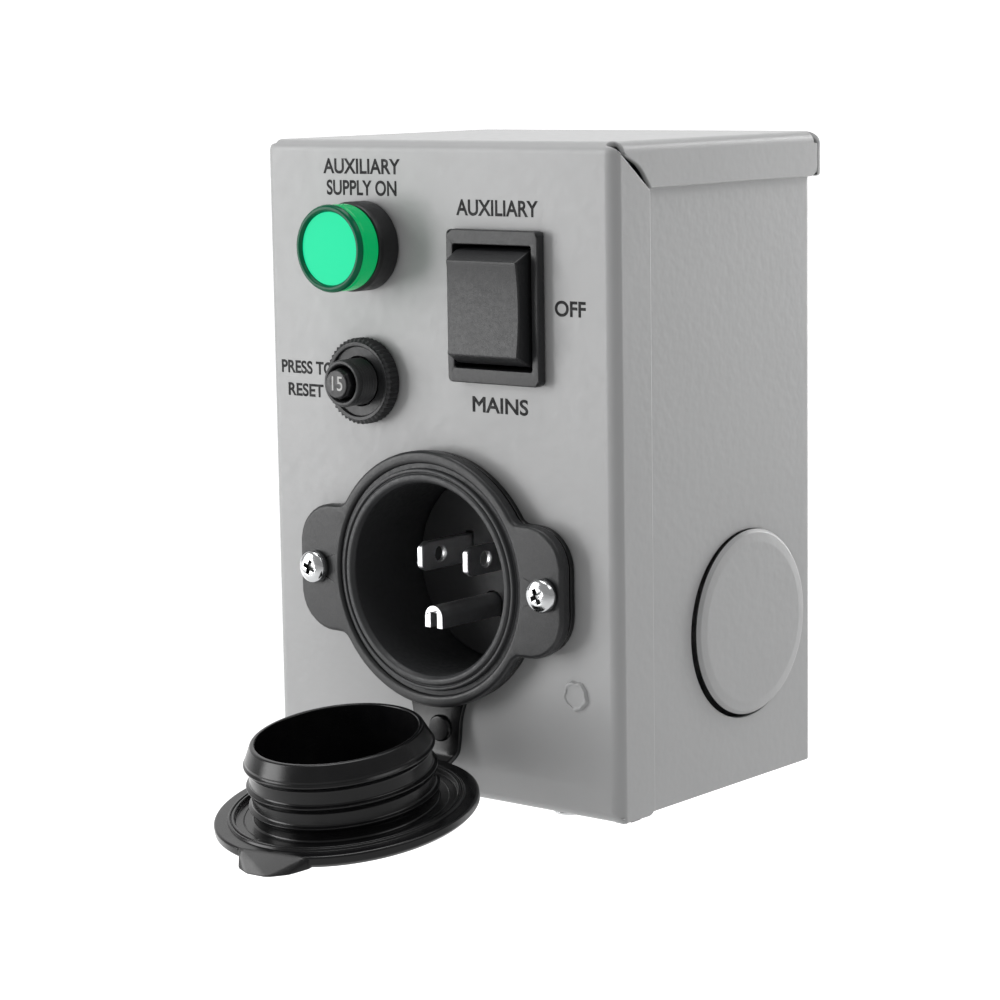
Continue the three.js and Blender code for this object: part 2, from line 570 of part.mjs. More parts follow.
function placeInlet() {
  const { x, z, screwX } = INLET;
  place("inlet_housing", FINISH.charcoal, makeInletHousing());
  place("inlet_insert", FINISH.black,
    cut(barY(INSERT.radius, x, z, INSERT.front, INSERT.rear, ROUND), ...conductorSlots()));
  place("inlet_blade_line", FINISH.steel, makeBlade(-1));
  place("inlet_blade_neutral", FINISH.steel, makeBlade(1));
  const channelCut = block([x - 0.9, -90, pinZ - 4], [x + 0.9, -30, pinZ + 0.9]);
  place("inlet_ground_pin", FINISH.steel,
    cut(plateY(pinOutline(0), FRONT + GROUND_PIN.tip, CONDUCTOR_REAR), channelCut));
  [["left", -1], ["right", 1]].forEach(([name, side]) => {
    const sx = x + side * screwX;
    const seat = FLANGE_FRONT - GAP;
    const head = barY(SCREW.head, sx, z, seat - SCREW.headHeight, seat);
    place("inlet_screw_" + name, FINISH.steel, join(head, barY(SCREW.shank, sx, z, seat - 1, INSIDE + 6)));
    const nut = plateY(hexagon(sx, z, 7), INSIDE + GAP, INSIDE + 3);
    place("inlet_nut_" + name, FINISH.steel, cut(nut, barY(SCREW.hole, sx, z, INSIDE - 1, INSIDE + 4)));
  });
  placeTerminalScrews();
}

function placeTerminalScrews() {
  const reach = INLET_BODY.radius + GAP;
  const y = -47;
  const sideScrew = (side) =>
    barX(3, y, INLET.z, INLET.x + (side > 0 ? reach : -reach - 2), INLET.x + (side > 0 ? reach + 2 : -reach));
  place("terminal_screw_line", FINISH.brass, sideScrew(-1));
  place("terminal_screw_neutral", FINISH.steel, sideScrew(1));
  place("terminal_screw_ground", FINISH.green,
    barZ(3, INLET.x, y, INLET.z - reach - 2, INLET.z - reach));
}

// ---- Rubber gasket, strap and lid ----
function makeGasket() {
  const front = FLANGE_REAR + GAP;
  const plate = join(
    earedDisc(0.3, front, SEAT),
    block([INLET.x - STRAP_HALF, front, STRAP_FOOT], [INLET.x + STRAP_HALF, SEAT, INLET.z - 24]),
  );
  return cut(plate, barY(INLET.cup + 0.5, INLET.x, INLET.z, front - 1, SEAT + 1, ROUND),
    ...screwHolesThrough(front - 1, SEAT + 1));
}

// The lid as it sits closed on the inlet, with its sleeve pointing into the mouth.
function makeLid() {
  const { x, z } = INLET;
  const face = FRONT - LID.face;
  const back = face - LID.thickness;
  const { radius, bore, outer, rib, sleeve } = LID;
  const tip = face + sleeve;
  const ribs = RIB_HEIGHTS.flatMap((height) => [
    [outer, face + height - RIB_HALF], [rib, face + height], [outer, face + height + RIB_HALF],
  ]);
  const cap = turned([
    [0, back], [radius - 0.9, back], [radius, back + 0.9], [radius, face - 0.3], [radius - 0.3, face],
    [outer, face], ...ribs, [bore + 0.9, tip - 0.2], [bore, tip], [bore - 0.2, face + 0.6], [0, face + 0.6],
  ], x, z);
  const { left, right, depth } = LUG;
  const lug = plateX(outline([
    [face - 0.1, z + 20], [back + 0.1, z + 20], [back - depth, z + radius - 0.5], [back - depth, z + radius + 1],
    [face - 0.1, z + radius - 1.5],
  ]), x + left, x + right);
  const web = outline([
    [back, -48.5], [back, -51.3], [-78.9, -53.9], [-78, -52.6], [face, -50.2], [face, -48.5],
  ]);
  return join(cap, lug, plateX(web, x - STRAP_HALF, x + STRAP_HALF));
}

function placeRubber() {
  place("inlet_gasket", FINISH.rubber, makeGasket());
  const hung = new THREE.Group();
  hung.position.set(0, LID_HINGE.y, LID_HINGE.z);
  hung.rotation.x = LID_HINGE.open;
  part.add(hung);
  const lid = makeLid().translate([0, -LID_HINGE.y, -LID_HINGE.z]);
  place("inlet_lid", FINISH.rubber, lid, hung);
}

// ---- Leads inside the box ----
const LEADS = [
  ["lead_inlet_line", FINISH.black, 1.6, [
    [-5.55, -38.6, -18.9], [-5.6, -35.5, -18.6], [-8, -32.8, -12],
    [-14, -32, 0], [-18.5, -33, 7.8], [-19, -35.8, 8.7],
  ]],
  ["lead_breaker_load", FINISH.black, 1.6, [
    [-19, -35.6, 28.7], [-17.5, -32.6, 29.2], [-8, -31.5, 31],
    [4, -31.8, 34], [11.5, -33.4, 35.7], [12.9, -36.8, 36],
  ]],
  ["lead_inlet_neutral", FINISH.white, 1.6, [
    [7.15, -38.6, -18.9], [7.4, -35.5, -18.4], [11, -32.6, -8],
    [18, -31.6, 14], [22.6, -33, 34], [22.9, -36.8, 36],
  ]],
  ["lead_lamp_line", FINISH.black, 1, [
    [-21.8, -42.3, 47.7], [-21.2, -38, 49], [-12, -34, 54],
    [2, -33.4, 52], [11.6, -34.4, 45.6], [12.9, -37, 44.5],
  ]],
  ["lead_lamp_neutral", FINISH.white, 1, [
    [-15.8, -42.3, 47.7], [-14.6, -39.4, 49], [-4, -38, 57],
    [12, -36.4, 57], [21.6, -34.4, 47.4], [22.9, -36.8, 44.5],
  ]],
  ["lead_inlet_ground", FINISH.green, 1.6, [
    [0.8, -38.6, -30.8], [1.6, -35.4, -31.2], [9, -35, -36],
    [18, -45, -42], [23, -60, -44], [27.2, -72.6, -44.1],
  ]],
];

function placeLeads() {
  LEADS.forEach(([name, material, radius, route]) => {
    const curve = new THREE.CatmullRomCurve3(route.map((point) => new THREE.Vector3(...point)));
    place(name, material, swept(curve, radius, 8, 16));
  });
}

place("front_cover", FINISH.paint, makeCover());
place("back_box", FINISH.paint, makeBackBox());
placeKnockouts();
placeCoverScrews();
placeGround();
placeLamp();
placeBreaker();
placeSwitch();
placeInlet();
placeRubber();
placeLeads();

export default part;
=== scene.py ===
"""A wall-mounted generator inlet box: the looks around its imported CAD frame. Lengths are in millimetres."""

import json
import math
from collections import namedtuple

import bmesh
import bpy
from mathutils import Matrix, Quaternion, Vector


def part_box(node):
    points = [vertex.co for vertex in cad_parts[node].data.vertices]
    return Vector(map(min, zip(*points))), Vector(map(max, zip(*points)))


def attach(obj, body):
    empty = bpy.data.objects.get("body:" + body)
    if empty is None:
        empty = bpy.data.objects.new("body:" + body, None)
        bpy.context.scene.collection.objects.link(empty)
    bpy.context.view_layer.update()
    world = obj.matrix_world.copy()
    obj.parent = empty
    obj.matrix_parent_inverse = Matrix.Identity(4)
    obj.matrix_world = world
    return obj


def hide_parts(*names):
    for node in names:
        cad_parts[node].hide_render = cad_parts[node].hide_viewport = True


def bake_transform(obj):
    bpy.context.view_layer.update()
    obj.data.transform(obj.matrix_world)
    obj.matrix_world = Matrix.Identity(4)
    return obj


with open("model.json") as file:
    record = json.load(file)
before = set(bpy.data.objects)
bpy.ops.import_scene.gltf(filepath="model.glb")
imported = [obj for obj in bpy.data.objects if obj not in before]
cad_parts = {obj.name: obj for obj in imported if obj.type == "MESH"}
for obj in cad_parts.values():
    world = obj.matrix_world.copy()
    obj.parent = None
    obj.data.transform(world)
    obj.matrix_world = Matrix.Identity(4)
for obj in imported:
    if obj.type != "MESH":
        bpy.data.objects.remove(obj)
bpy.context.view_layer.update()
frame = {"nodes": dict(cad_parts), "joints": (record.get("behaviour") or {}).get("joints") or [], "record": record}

MM = 0.001
TAU = 2 * math.pi
TURN_TO_Y = Matrix.Rotation(-math.pi / 2, 4, "X")  # a lathe's axis onto the row frame's Y
TURN_TO_X = Matrix.Rotation(math.pi / 2, 4, "Y")
Extent = namedtuple("Extent", "x0 x1 y0 y1 z0 z1")


def extent(node):
    """Where a CAD node lies, in millimetres."""
    low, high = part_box(node)
    return Extent(*(edge * 1000 for pair in zip(low, high) for edge in pair))


def middle(node):
    e = extent(node)
    return Vector(((e.x0 + e.x1) / 2, (e.y0 + e.y1) / 2, (e.z0 + e.z1) / 2))


# ---- Sizes ----
COVER = extent("front_cover")
BOX = extent("back_box")
LAMP = middle("lamp_bezel")
BREAKER = middle("breaker_nut")
SWITCH = middle("switch_housing")
INLET = middle("inlet_insert")
SHEET = 1.2  # thickness of the box and its cover
BEND = 2.6  # outer radius of the cover's folds
SHEET_EDGE = 0.3  # rounding of a cut edge under its paint
COVER_FLANGE = 12.2  # depth of the cover's side flanges
HOOD_FLANGE = 9.8  # height of the drip hood's flanges
MITRE_GAP = 0.7
GAP = 0.3  # between parts that touch
PAD_RISE = 2.2  # of the wall pad from the back panel
MOUTH = 20.8  # radii of the inlet's recess, of its cup outside, and of its flange
CUP = 22.4
FLANGE = 27.6
SCREW_HEAD = 3.6  # radii of a screw's head and shank, and of the hole it goes through
SCREW_SHANK = 1.9
SCREW_HOLE = 2.3

# ---- Camera ----
CAMERA = {"azimuth": 39.31, "elevation": 8.458, "roll": -0.906, "distance": 650, "lens": 108.33}
CAMERA_AIM = Vector((5.105, -60.886, -7.415))


def make_camera():
    azimuth, elevation = math.radians(CAMERA["azimuth"]), math.radians(CAMERA["elevation"])
    back = Vector((math.sin(azimuth) * math.cos(elevation), -math.cos(azimuth) * math.cos(elevation),
                   math.sin(elevation)))
    camera = bpy.data.objects.new("camera", bpy.data.cameras.new("camera"))
    bpy.context.scene.collection.objects.link(camera)
    camera.data.lens = CAMERA["lens"]
    camera.data.sensor_width = 36
    camera.data.clip_start = 0.01
    camera.data.clip_end = 50
    camera.location = (CAMERA_AIM + back * CAMERA["distance"]) * MM
    camera.rotation_mode = "QUATERNION"
    roll = Quaternion((0, 0, 1), math.radians(CAMERA["roll"]))
    camera.rotation_quaternion = (-back).to_track_quat("-Z", "Y") @ roll
    bpy.context.scene.camera = camera


# ---- Outlines ----
def arc(centre, radius, start, end, steps=8):
    """Points on a round stretch; the angles are in degrees."""
    angles = [math.radians(start + (end - start) * i / steps) for i in range(steps + 1)]
    return [Vector((centre[0] + radius * math.cos(a), centre[1] + radius * math.sin(a))) for a in angles]


def circle(x, y, radius, steps=96):
    return arc((x, y), radius, 0, 360 * (steps - 1) / steps, steps - 1)


def fillet(points, closed=True, step=12):
    """An outline of (u, v) or (u, v, corner radius) points, with its corners rounded."""
    line = []
    count = len(points)
    for i, point in enumerate(points):
        here = Vector(point[:2])
        radius = point[2] if len(point) > 2 else 0
        if not radius or (not closed and i in (0, count - 1)):
            line.append(here)
            continue
        before = Vector(points[i - 1][:2]) - here
        after = Vector(points[(i + 1) % count][:2]) - here
        half = before.angle(after) / 2
        back = min(radius / math.tan(half), 0.499 * before.length, 0.499 * after.length)
        radius = back * math.tan(half)
        centre = here + (before.normalized() + after.normalized()).normalized() * (radius / math.sin(half))
        start, end = here + before.normalized() * back - centre, here + after.normalized() * back - centre
        turn = start.angle_signed(end)
        first = math.degrees(math.atan2(start.y, start.x))
        steps = max(2, math.ceil(abs(math.degrees(turn)) / step))
        line += arc(centre, radius, first, first - math.degrees(turn), steps)
    return line


def rounded_rectangle(x, y, half_x, half_y, radius, step=12):
    corners = [(x + half_x, y - half_y, radius), (x + half_x, y + half_y, radius),
               (x - half_x, y + half_y, radius), (x - half_x, y - half_y, radius)]
    return fillet(corners, step=step)


# ---- Mesh building, in millimetres ----
def strip(bm, rows, closed=False):
    """Quads between rows of points, or of single points."""
    made = [[bm.verts.new(point) for point in row] for row in rows]
    for low, high in zip(made, made[1:]):
        count = max(len(low), len(high))
        for i in range(count if closed else count - 1):
            j = (i + 1) % count
            corners = [low[i % len(low)], low[j % len(low)], high[j % len(high)], high[i % len(high)]]
            corners = list(dict.fromkeys(corners))
            if len(corners) > 2:
                bm.faces.new(corners)


def turned(profile, place, closed=False, sides=96, step=12):
    """A turned solid from (radius, height[, corner radius]) points; closed is for a ring's section."""
    line = fillet(profile, closed, step)
    line += line[:1] if closed else []
    bm = bmesh.new()
    angles = [TAU * i / sides for i in range(sides)]
    rows = [[(p.x * math.cos(a), p.x * math.sin(a), p.y) for a in angles] if p.x > 1e-6 else [(0, 0, p.y)]
            for p in line]
    strip(bm, rows, closed=True)
    bmesh.ops.remove_doubles(bm, verts=bm.verts[:], dist=1e-5)
    bm.transform(place)
    return bm


def rod(radius, start, end, place):
    return turned([(0, start), (radius, start), (radius, end), (0, end)], place)


def plate(loops, place, low, high):
    """A flat plate of any outline; loops after the first are its holes."""
    bm = bmesh.new()
    edges = []
    for loop in loops:
        verts = [bm.verts.new((p[0], p[1], low)) for p in loop]
        edges += [bm.edges.new((verts[i - 1], verts[i])) for i in range(len(verts))]
    if len(loops) == 1:
        bm.faces.new(bm.verts[:])
    else:
        bmesh.ops.triangle_fill(bm, use_beauty=True, edges=edges)
    grown = bmesh.ops.extrude_face_region(bm, geom=bm.faces[:])
    moved = [v for v in grown["geom"] if isinstance(v, bmesh.types.BMVert)]
    bmesh.ops.translate(bm, verts=moved, vec=(0, 0, high - low))
    bm.transform(place)
    return bm


# A plate's outline (u, v) onto the row frame: facing -Y as (x, z), and facing +X as (y, z).
FACE_Y = Matrix(((1, 0, 0, 0), (0, 0, 1, 0), (0, 1, 0, 0), (0, 0, 0, 1)))
FACE_X = Matrix(((0, 0, 1, 0), (1, 0, 0, 0), (0, 1, 0, 0), (0, 0, 0, 1)))
FACE_Z = Matrix.Identity(4)


def along_y(x, z):
    return Matrix.Translation((x, 0, z)) @ TURN_TO_Y


def block(low, high):
    bm = bmesh.new()
    centre = (Vector(low) + Vector(high)) / 2
    size = Vector(high) - Vector(low)
    bmesh.ops.create_cube(bm, size=1, matrix=Matrix.Translation(centre) @ Matrix.Diagonal((*size, 1)))
    return bm


def merged(*parts):
    """Several bmeshes as one."""
    whole = bmesh.new()
    for part in parts:
        mesh = bpy.data.meshes.new("part")
        part.to_mesh(mesh)
        part.free()
        whole.from_mesh(mesh)
        bpy.data.meshes.remove(mesh)
    return whole


def make_object(name, bm, outward=True):
    """A new object from a bmesh in millimetres. outward turns every closed shell's faces out."""
    if outward:
        bmesh.ops.recalc_face_normals(bm, faces=bm.faces[:])
    bmesh.ops.scale(bm, vec=(MM, MM, MM), verts=bm.verts[:])
    mesh = bpy.data.meshes.new(name)
    bm.to_mesh(mesh)
    bm.free()
    piece = bpy.data.objects.new(name, mesh)
    bpy.context.scene.collection.objects.link(piece)
    return piece


def apply_modifiers(piece):
    graph = bpy.context.evaluated_depsgraph_get()
    mesh = bpy.data.meshes.new_from_object(piece.evaluated_get(graph))
    piece.modifiers.clear()
    piece.data = mesh


def combine(piece, cutters, operation="DIFFERENCE"):
    """Cuts solids, given as bmeshes, out of a piece, or joins them to it."""
    for bm in cutters:
        tool = make_object("tool", bm)
        modifier = piece.modifiers.new("boolean", "BOOLEAN")
        modifier.operation = operation
        modifier.solver = "EXACT"
        modifier.object = tool
        apply_modifiers(piece)
        bpy.data.objects.remove(tool)


def round_edges(piece, width, segments=3, limit=35, clamp=True):
    modifier = piece.modifiers.new("round edges", "BEVEL")
    modifier.width = width * MM
    modifier.segments = segments
    modifier.limit_method = "ANGLE"
    modifier.angle_limit = math.radians(limit)
    modifier.miter_outer = "MITER_ARC"
    modifier.use_clamp_overlap = clamp


def smooth(piece, sharp=None, weight=80):
    piece.data.polygons.foreach_set("use_smooth", [True] * len(piece.data.polygons))
    if sharp:
        piece.data.set_sharp_from_angle(angle=math.radians(sharp))
    modifier = piece.modifiers.new("weighted normals", "WEIGHTED_NORMAL")
    modifier.keep_sharp = True
    modifier.weight = weight


def dress(piece, material, body="root", replaces=()):
    piece.data.materials.clear()
    piece.data.materials.append(material)
    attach(piece, body)
    if replaces:
        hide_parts(*replaces)


# ---- Materials ----
def new_material(name, base, roughness, **sockets):
    """A Principled material whose even values are set on its own sockets."""
    material = bpy.data.materials.new(name)
    material.use_nodes = True
    shader = material.node_tree.nodes["Principled BSDF"]
    shader.inputs["Base Color"].default_value = (*base, 1)
    shader.inputs["Roughness"].default_value = roughness
    for socket, value in sockets.items():
        shader.inputs[socket.replace("_", " ")].default_value = value
    return material


def noise(material, scale, detail=2.0):
    """A noise texture in the object's own space; scale is its number of features in a metre."""
    nodes, links = material.node_tree.nodes, material.node_tree.links
    place = nodes.get("place") or nodes.new("ShaderNodeTexCoord")
    place.name = "place"
    texture = nodes.new("ShaderNodeTexNoise")
    texture.inputs["Scale"].default_value = scale
    texture.inputs["Detail"].default_value = detail
    links.new(place.outputs["Object"], texture.inputs["Vector"])
    return texture.outputs["Fac"]


def map_range(nodes, links, source, reach, levels):
    """A node that maps one stretch of values onto another."""
    spread = nodes.new("ShaderNodeMapRange")
    for name, value in zip(("From Min", "From Max", "To Min", "To Max"), (*reach, *levels)):
        spread.inputs[name].default_value = value
    links.new(source, spread.inputs["Value"])
    return spread


def vary(material, socket, source, low, high):
    """Drives a socket between two values, or two colours, by a noise texture."""
    nodes, links = material.node_tree.nodes, material.node_tree.links
    reach = (0.3, 0.7)  # where nearly all of the noise lies
    if isinstance(low, tuple):
        ramp = nodes.new("ShaderNodeValToRGB")
        for stop, position, colour in zip(ramp.color_ramp.elements, reach, (low, high)):
            stop.position = position
            stop.color = (*colour, 1)
        links.new(source, ramp.inputs["Fac"])
        driven = ramp.outputs["Color"]
    else:
        driven = map_range(nodes, links, source, reach, (low, high)).outputs["Result"]
    links.new(driven, nodes["Principled BSDF"].inputs[socket])


def bump(material, source, height, strength=1.0):
    """Adds a bump of that height, in millimetres, on top of any bump already there."""
    nodes, links = material.node_tree.nodes, material.node_tree.links
    node = nodes.new("ShaderNodeBump")
    node.inputs["Strength"].default_value = strength
    node.inputs["Distance"].default_value = height * MM
    links.new(source, node.inputs["Height"])
    shader = nodes["Principled BSDF"]
    if shader.inputs["Normal"].links:
        links.new(shader.inputs["Normal"].links[0].from_socket, node.inputs["Normal"])
    links.new(node.outputs["Normal"], shader.inputs["Normal"])


def make_paint():
    paint = new_material("powder_coat", (0.5, 0.5, 0.5), 0.4)
    vary(paint, "Base Color", noise(paint, 60, 2), (0.400, 0.402, 0.404), (0.410, 0.412, 0.414))
    vary(paint, "Roughness", noise(paint, 400), 0.32, 0.4)
    bump(paint, noise(paint, 450, 1), 0.05)
    return paint


def make_charcoal():
    charcoal = new_material("charcoal_plastic", (0.034, 0.035, 0.037), 0.42)
    vary(charcoal, "Base Color", noise(charcoal, 3500, 3), (0.012, 0.0125, 0.0135), (0.020, 0.0205, 0.022))
    vary(charcoal, "Roughness", noise(charcoal, 1200), 0.36, 0.46)
    bump(charcoal, noise(charcoal, 3000, 2), 0.016)
    return charcoal


def make_plastic(name, base, roughness):
    plastic = new_material(name, base, roughness)
    vary(plastic, "Roughness", noise(plastic, 900, 3), roughness * 0.8, roughness * 1.25)
    bump(plastic, noise(plastic, 3000, 2), 0.006)
    return plastic


def make_rubber():
    rubber = new_material("moulded_rubber", (0.012, 0.012, 0.013), 0.3, Specular_IOR_Level=0.4)
    vary(rubber, "Base Color", noise(rubber, 300, 4), (0.004, 0.004, 0.0045), (0.007, 0.007, 0.0075))
    vary(rubber, "Roughness", noise(rubber, 200, 2), 0.17, 0.26)
    bump(rubber, noise(rubber, 1200, 2), 0.003)
    return rubber


def make_metal(name, base, low, high, grain):
    metal = new_material(name, base, (low + high) / 2, Metallic=1.0)
    vary(metal, "Roughness", noise(metal, 400, 3), low, high)
    bump(metal, noise(metal, grain, 1), 0.0003)
    return metal


def make_lens(name, base, emission, strength, specular):
    lens = new_material(name, base, 0.15, Emission_Color=(*emission, 1), Emission_Strength=strength,
                        Specular_IOR_Level=specular)
    vary(lens, "Roughness", noise(lens, 800), 0.12, 0.2)
    bump(lens, noise(lens, 900, 2), 0.008)
    return lens


PAINT = make_paint()
CHARCOAL = make_charcoal()
BLACK = make_plastic("black_plastic", (0.008, 0.008, 0.009), 0.38)
# Paler than the charcoal: the insert's own grey, which on the cup is also painted light for its dim inside.
INSERT = make_plastic("insert_plastic", (0.035, 0.036, 0.038), 0.45)
# Painted shade: a near-black plastic for the side knockouts' side faces, standing in for the shadowed gap round
# each disc.
EDGE_SHADE = make_plastic("painted_edge_shade", (0.03, 0.03, 0.03), 0.6)
RUBBER = make_rubber()
CHROME = make_metal("nickel_plate", (0.72, 0.73, 0.74), 0.13, 0.2, 2500)
# Painted shade: a dark metal for the walls of a screw's cross recess, standing in for the shade inside it.
RECESS_SHADE = make_metal("recess_painted_shade", (0.1, 0.1, 0.1), 0.3, 0.4, 2500)
STEEL = make_metal("plated_steel", (0.78, 0.78, 0.79), 0.3, 0.4, 1500)
BRASS = make_metal("stamped_brass", (0.78, 0.6, 0.3), 0.3, 0.4, 1500)
GLOW = make_lens("lit_window", (0.01, 0.26, 0.15), (0.01, 0.85, 0.38), 0.69, 0.05)
LENS = make_lens("lit_wall", (0.0, 0.14, 0.05), (0.0, 0.8, 0.22), 0.34, 0.18)
RIM = make_lens("lens_rim", (0.0, 0.06, 0.03), (0.0, 0.3, 0.12), 0.12, 0.18)
CLEAR = make_plastic("clear_plastic", (0.75, 0.85, 0.78), 0.1)
INK = make_plastic("ink", (0.006, 0.006, 0.007), 0.7)
WHITE_INK = make_plastic("white_ink", (0.5, 0.5, 0.49), 0.5)
BLACK_VINYL = make_plastic("black_vinyl", (0.02, 0.02, 0.02), 0.4)
WHITE_VINYL = make_plastic("white_vinyl", (0.7, 0.7, 0.67), 0.4)
GREEN_VINYL = make_plastic("green_vinyl", (0.02, 0.2, 0.05), 0.4)


# ---- Folded sheet metal ----
def thicken(piece):
    modifier = piece.modifiers.new("sheet", "SOLIDIFY")
    modifier.thickness = SHEET * MM
    modifier.offset = -1
    modifier.use_even_offset = True
    modifier.use_quality_normals = True
    apply_modifiers(piece)


def sheet_object(name, bm, outward_normal):
    """A folded skin given thickness inward; its outermost face that way looks outward_normal's way."""
    bmesh.ops.remove_doubles(bm, verts=bm.verts[:], dist=1e-4)
    bmesh.ops.recalc_face_normals(bm, faces=bm.faces[:])
    outermost = max(bm.faces, key=lambda face: face.calc_center_median().dot(Vector(outward_normal)))
    if outermost.normal.dot(Vector(outward_normal)) < 0:
        bmesh.ops.reverse_faces(bm, faces=bm.faces[:])
    piece = make_object(name, bm, outward=False)
    thicken(piece)
    return piece


def cover_skin():
    """The cover's outer face: front, top, both folded to the sides, a rear lip and a bottom lip."""
    flat = COVER.x1 - BEND
    front, rear, top, bottom = COVER.y0, COVER.y1, COVER.z1, COVER.z0
    corner_z = top - BEND  # where the front's side folds start to close over the corner
    hood_y = front + BEND + MITRE_GAP  # where the hood's side folds begin
    hood_rear = rear - SHEET - 0.15
    fold_rear = rear - BEND - 0.1
    bm = bmesh.new()
    section = arc((front + BEND, bottom + BEND), BEND, 270, 180)
    section += arc((front + BEND, top - BEND), BEND, 180, 90) + [(hood_y, top)]
    section += [(fold_rear, top)]
    strip(bm, [[(x, y, z) for y, z in section] for x in (-flat, flat)])
    rear_fold = [Vector((fold_rear, top))] + arc((rear - BEND, top - BEND), BEND, 90, 0)
    rounding = [math.sqrt(max(0, 1 - ((z - top + BEND) / BEND) ** 2)) for y, z in rear_fold[1:]]
    ends = [flat + (BEND - 0.15) * share for share in rounding]
    strip(bm, [[(x, y, z) for y, z in rear_fold] for x in (-flat, flat)])
    for side in (-1, 1):
        strip(bm, [[(side * flat, y, z) for y, z in rear_fold[1:]],
                   [(side * x, y, z) for x, (y, z) in zip(ends, rear_fold[1:])]])
    lip = BOX.x1 - SHEET - GAP  # the bottom lip goes between the box's side walls
    strip(bm, [[(x, front + BEND, bottom), (x, front + COVER_FLANGE, bottom)] for x in (-lip, lip)])
    wide = COVER.x1 - 0.15
    lip_edge = [(-wide, top - HOOD_FLANGE, 0.8), (wide, top - HOOD_FLANGE, 0.8), (wide, top - BEND),
                (flat, top - BEND), (-flat, top - BEND), (-wide, top - BEND)]
    bm.faces.new([bm.verts.new((x, rear, z)) for x, z in fillet(lip_edge)])
    for side in (-1, 1):
        fold = arc((0, 0), BEND, 0, 90)
        strip(bm, [[(side * (flat + p.y), front + BEND - p.x, z) for p in fold]
                   for z in (bottom + BEND, corner_z)])
        strip(bm, [[(side * (flat + p.y), y, top - BEND + p.x) for p in fold] for y in (hood_y, fold_rear)])
        turns = [math.radians(90 * i / 8) for i in range(9)]
        strip(bm, [[(side * (flat + p.y), front + BEND - p.x * math.cos(a), corner_z + p.x * math.sin(a))
                    for p in fold] for a in turns[:5]])
        foot = [[(side * (flat + p.y), front + BEND - p.x, bottom + BEND) for p in fold]]
        for a in turns:  # the bottom bend dies away round the corner
            reach = [1 - (1 - math.cos(a)) * p.x / BEND for p in fold]
            drop = [p.x * (1 - math.sin(a)) for p in fold]
            foot.append([(side * (flat + out * p.y), front + BEND - out * p.x, bottom + down)
                         for out, down, p in zip(reach, drop, fold)])
        strip(bm, foot)
        x = side * COVER.x1
        for outline in (front_flange(corner_z), hood_flange(hood_y, hood_rear)):
            bm.faces.new([bm.verts.new((x, y, z)) for y, z in outline])
    return bm


def front_flange(corner_z):
    """The side flange of the cover's front, as (y, z)."""
    start, rear = COVER.y0 + BEND, COVER.y0 + COVER_FLANGE
    points = [(start, corner_z), (start, COVER.z0 + BEND), (start, COVER.z0), (rear, COVER.z0, 2),
              (rear, COVER.z1 - HOOD_FLANGE - MITRE_GAP / 2, 0.6)]
    return fillet(points)


def hood_flange(hood_y, hood_rear):
    """The hood's side flange, as (y, z); its front edge swells away from the mitre."""
    top, foot = COVER.z1 - BEND, COVER.z1 - HOOD_FLANGE
    start = Vector((hood_y, top))
    end = Vector((COVER.y0 + COVER_FLANGE + 0.5, foot))
    along = end - start
    across = Vector((-along.y, along.x)).normalized()
    swell = [start + along * t + across * 1.1 * math.sin(math.pi * t) ** 1.5
             for t in (i / 14 for i in range(1, 14))]
    rear = fillet([(hood_rear, top), (hood_rear, foot, 2.5), (end.x, foot)], closed=False)
    return [start, (COVER.y1 - BEND - 0.1, top)] + rear[:-1] + [end] + swell[::-1]


def make_cover():
    piece = sheet_object("sheet_cover", cover_skin(), (0, -1, 0))
    start, end = -80, -70  # from in front of the cover to behind its front sheet
    cutters = [rod(8, start, end, along_y(LAMP.x, LAMP.z)),
               rod(5.2, start, end, along_y(BREAKER.x, BREAKER.z)),
               rod(22.9, start, end, along_y(INLET.x, INLET.z)),
               block((SWITCH.x - 11.5, start, SWITCH.z - 15.1), (SWITCH.x + 11.5, end, SWITCH.z + 15.1))]
    combine(piece, cutters)
    round_edges(piece, SHEET_EDGE, 3, 60, clamp=False)
    apply_modifiers(piece)
    limits = [(COVER.x0, COVER.x1), (COVER.y0, COVER.y1), (COVER.z0, COVER.z1)]
    for v in piece.data.vertices:
        v.co = [min(max(value, low * MM), high * MM) for value, (low, high) in zip(v.co, limits)]
    smooth(piece)
    dress(piece, PAINT, replaces=["front_cover"])


def box_skin():
    """The wrap of the box: side walls, rear folds and the back panel with its pad."""
    bm = bmesh.new()
    back = BOX.y1 - PAD_RISE
    fold = 1.6
    flat = BOX.x1 - fold
    levels = (BOX.z0, BOX.z1)
    for side in (-1, 1):
        around = [(side * BOX.x1, BOX.y0)]
        around += [(side * (flat + p.x), back - fold + p.y) for p in arc((0, 0), fold, 0, 90)]
        strip(bm, [[(x, y, z) for x, y in around] for z in levels])
    base = rounded_rectangle(0, 0, 22, 57, 5, step=15)  # of the wall pad
    crown = rounded_rectangle(0, 0, 20, 55, 4, step=15)
    rim = [(flat, BOX.z0), (flat, BOX.z1), (-flat, BOX.z1), (-flat, BOX.z0)]
    edges = []
    for loop in (rim, base):
        verts = [bm.verts.new((p[0], back, p[1])) for p in loop]
        edges += [bm.edges.new((verts[i - 1], verts[i])) for i in range(len(verts))]
    bmesh.ops.triangle_fill(bm, use_beauty=True, edges=edges)
    strip(bm, [[(p.x, y, p.y) for p in loop] for loop, y in ((base, back), (crown, BOX.y1))], closed=True)
    bm.faces.new([bm.verts.new((p.x, BOX.y1, p.y)) for p in crown])
    return bm


def keyhole(z):
    """Cutters for a keyhole in the wall pad: a round head with a slot up from it."""
    low, high = -8, 3
    slot = plate([rounded_rectangle(0, z + 3.5, 2.2, 5.7, 2.19)], FACE_Y, low, high)
    return [rod(4, low, high, along_y(0, z)), slot]


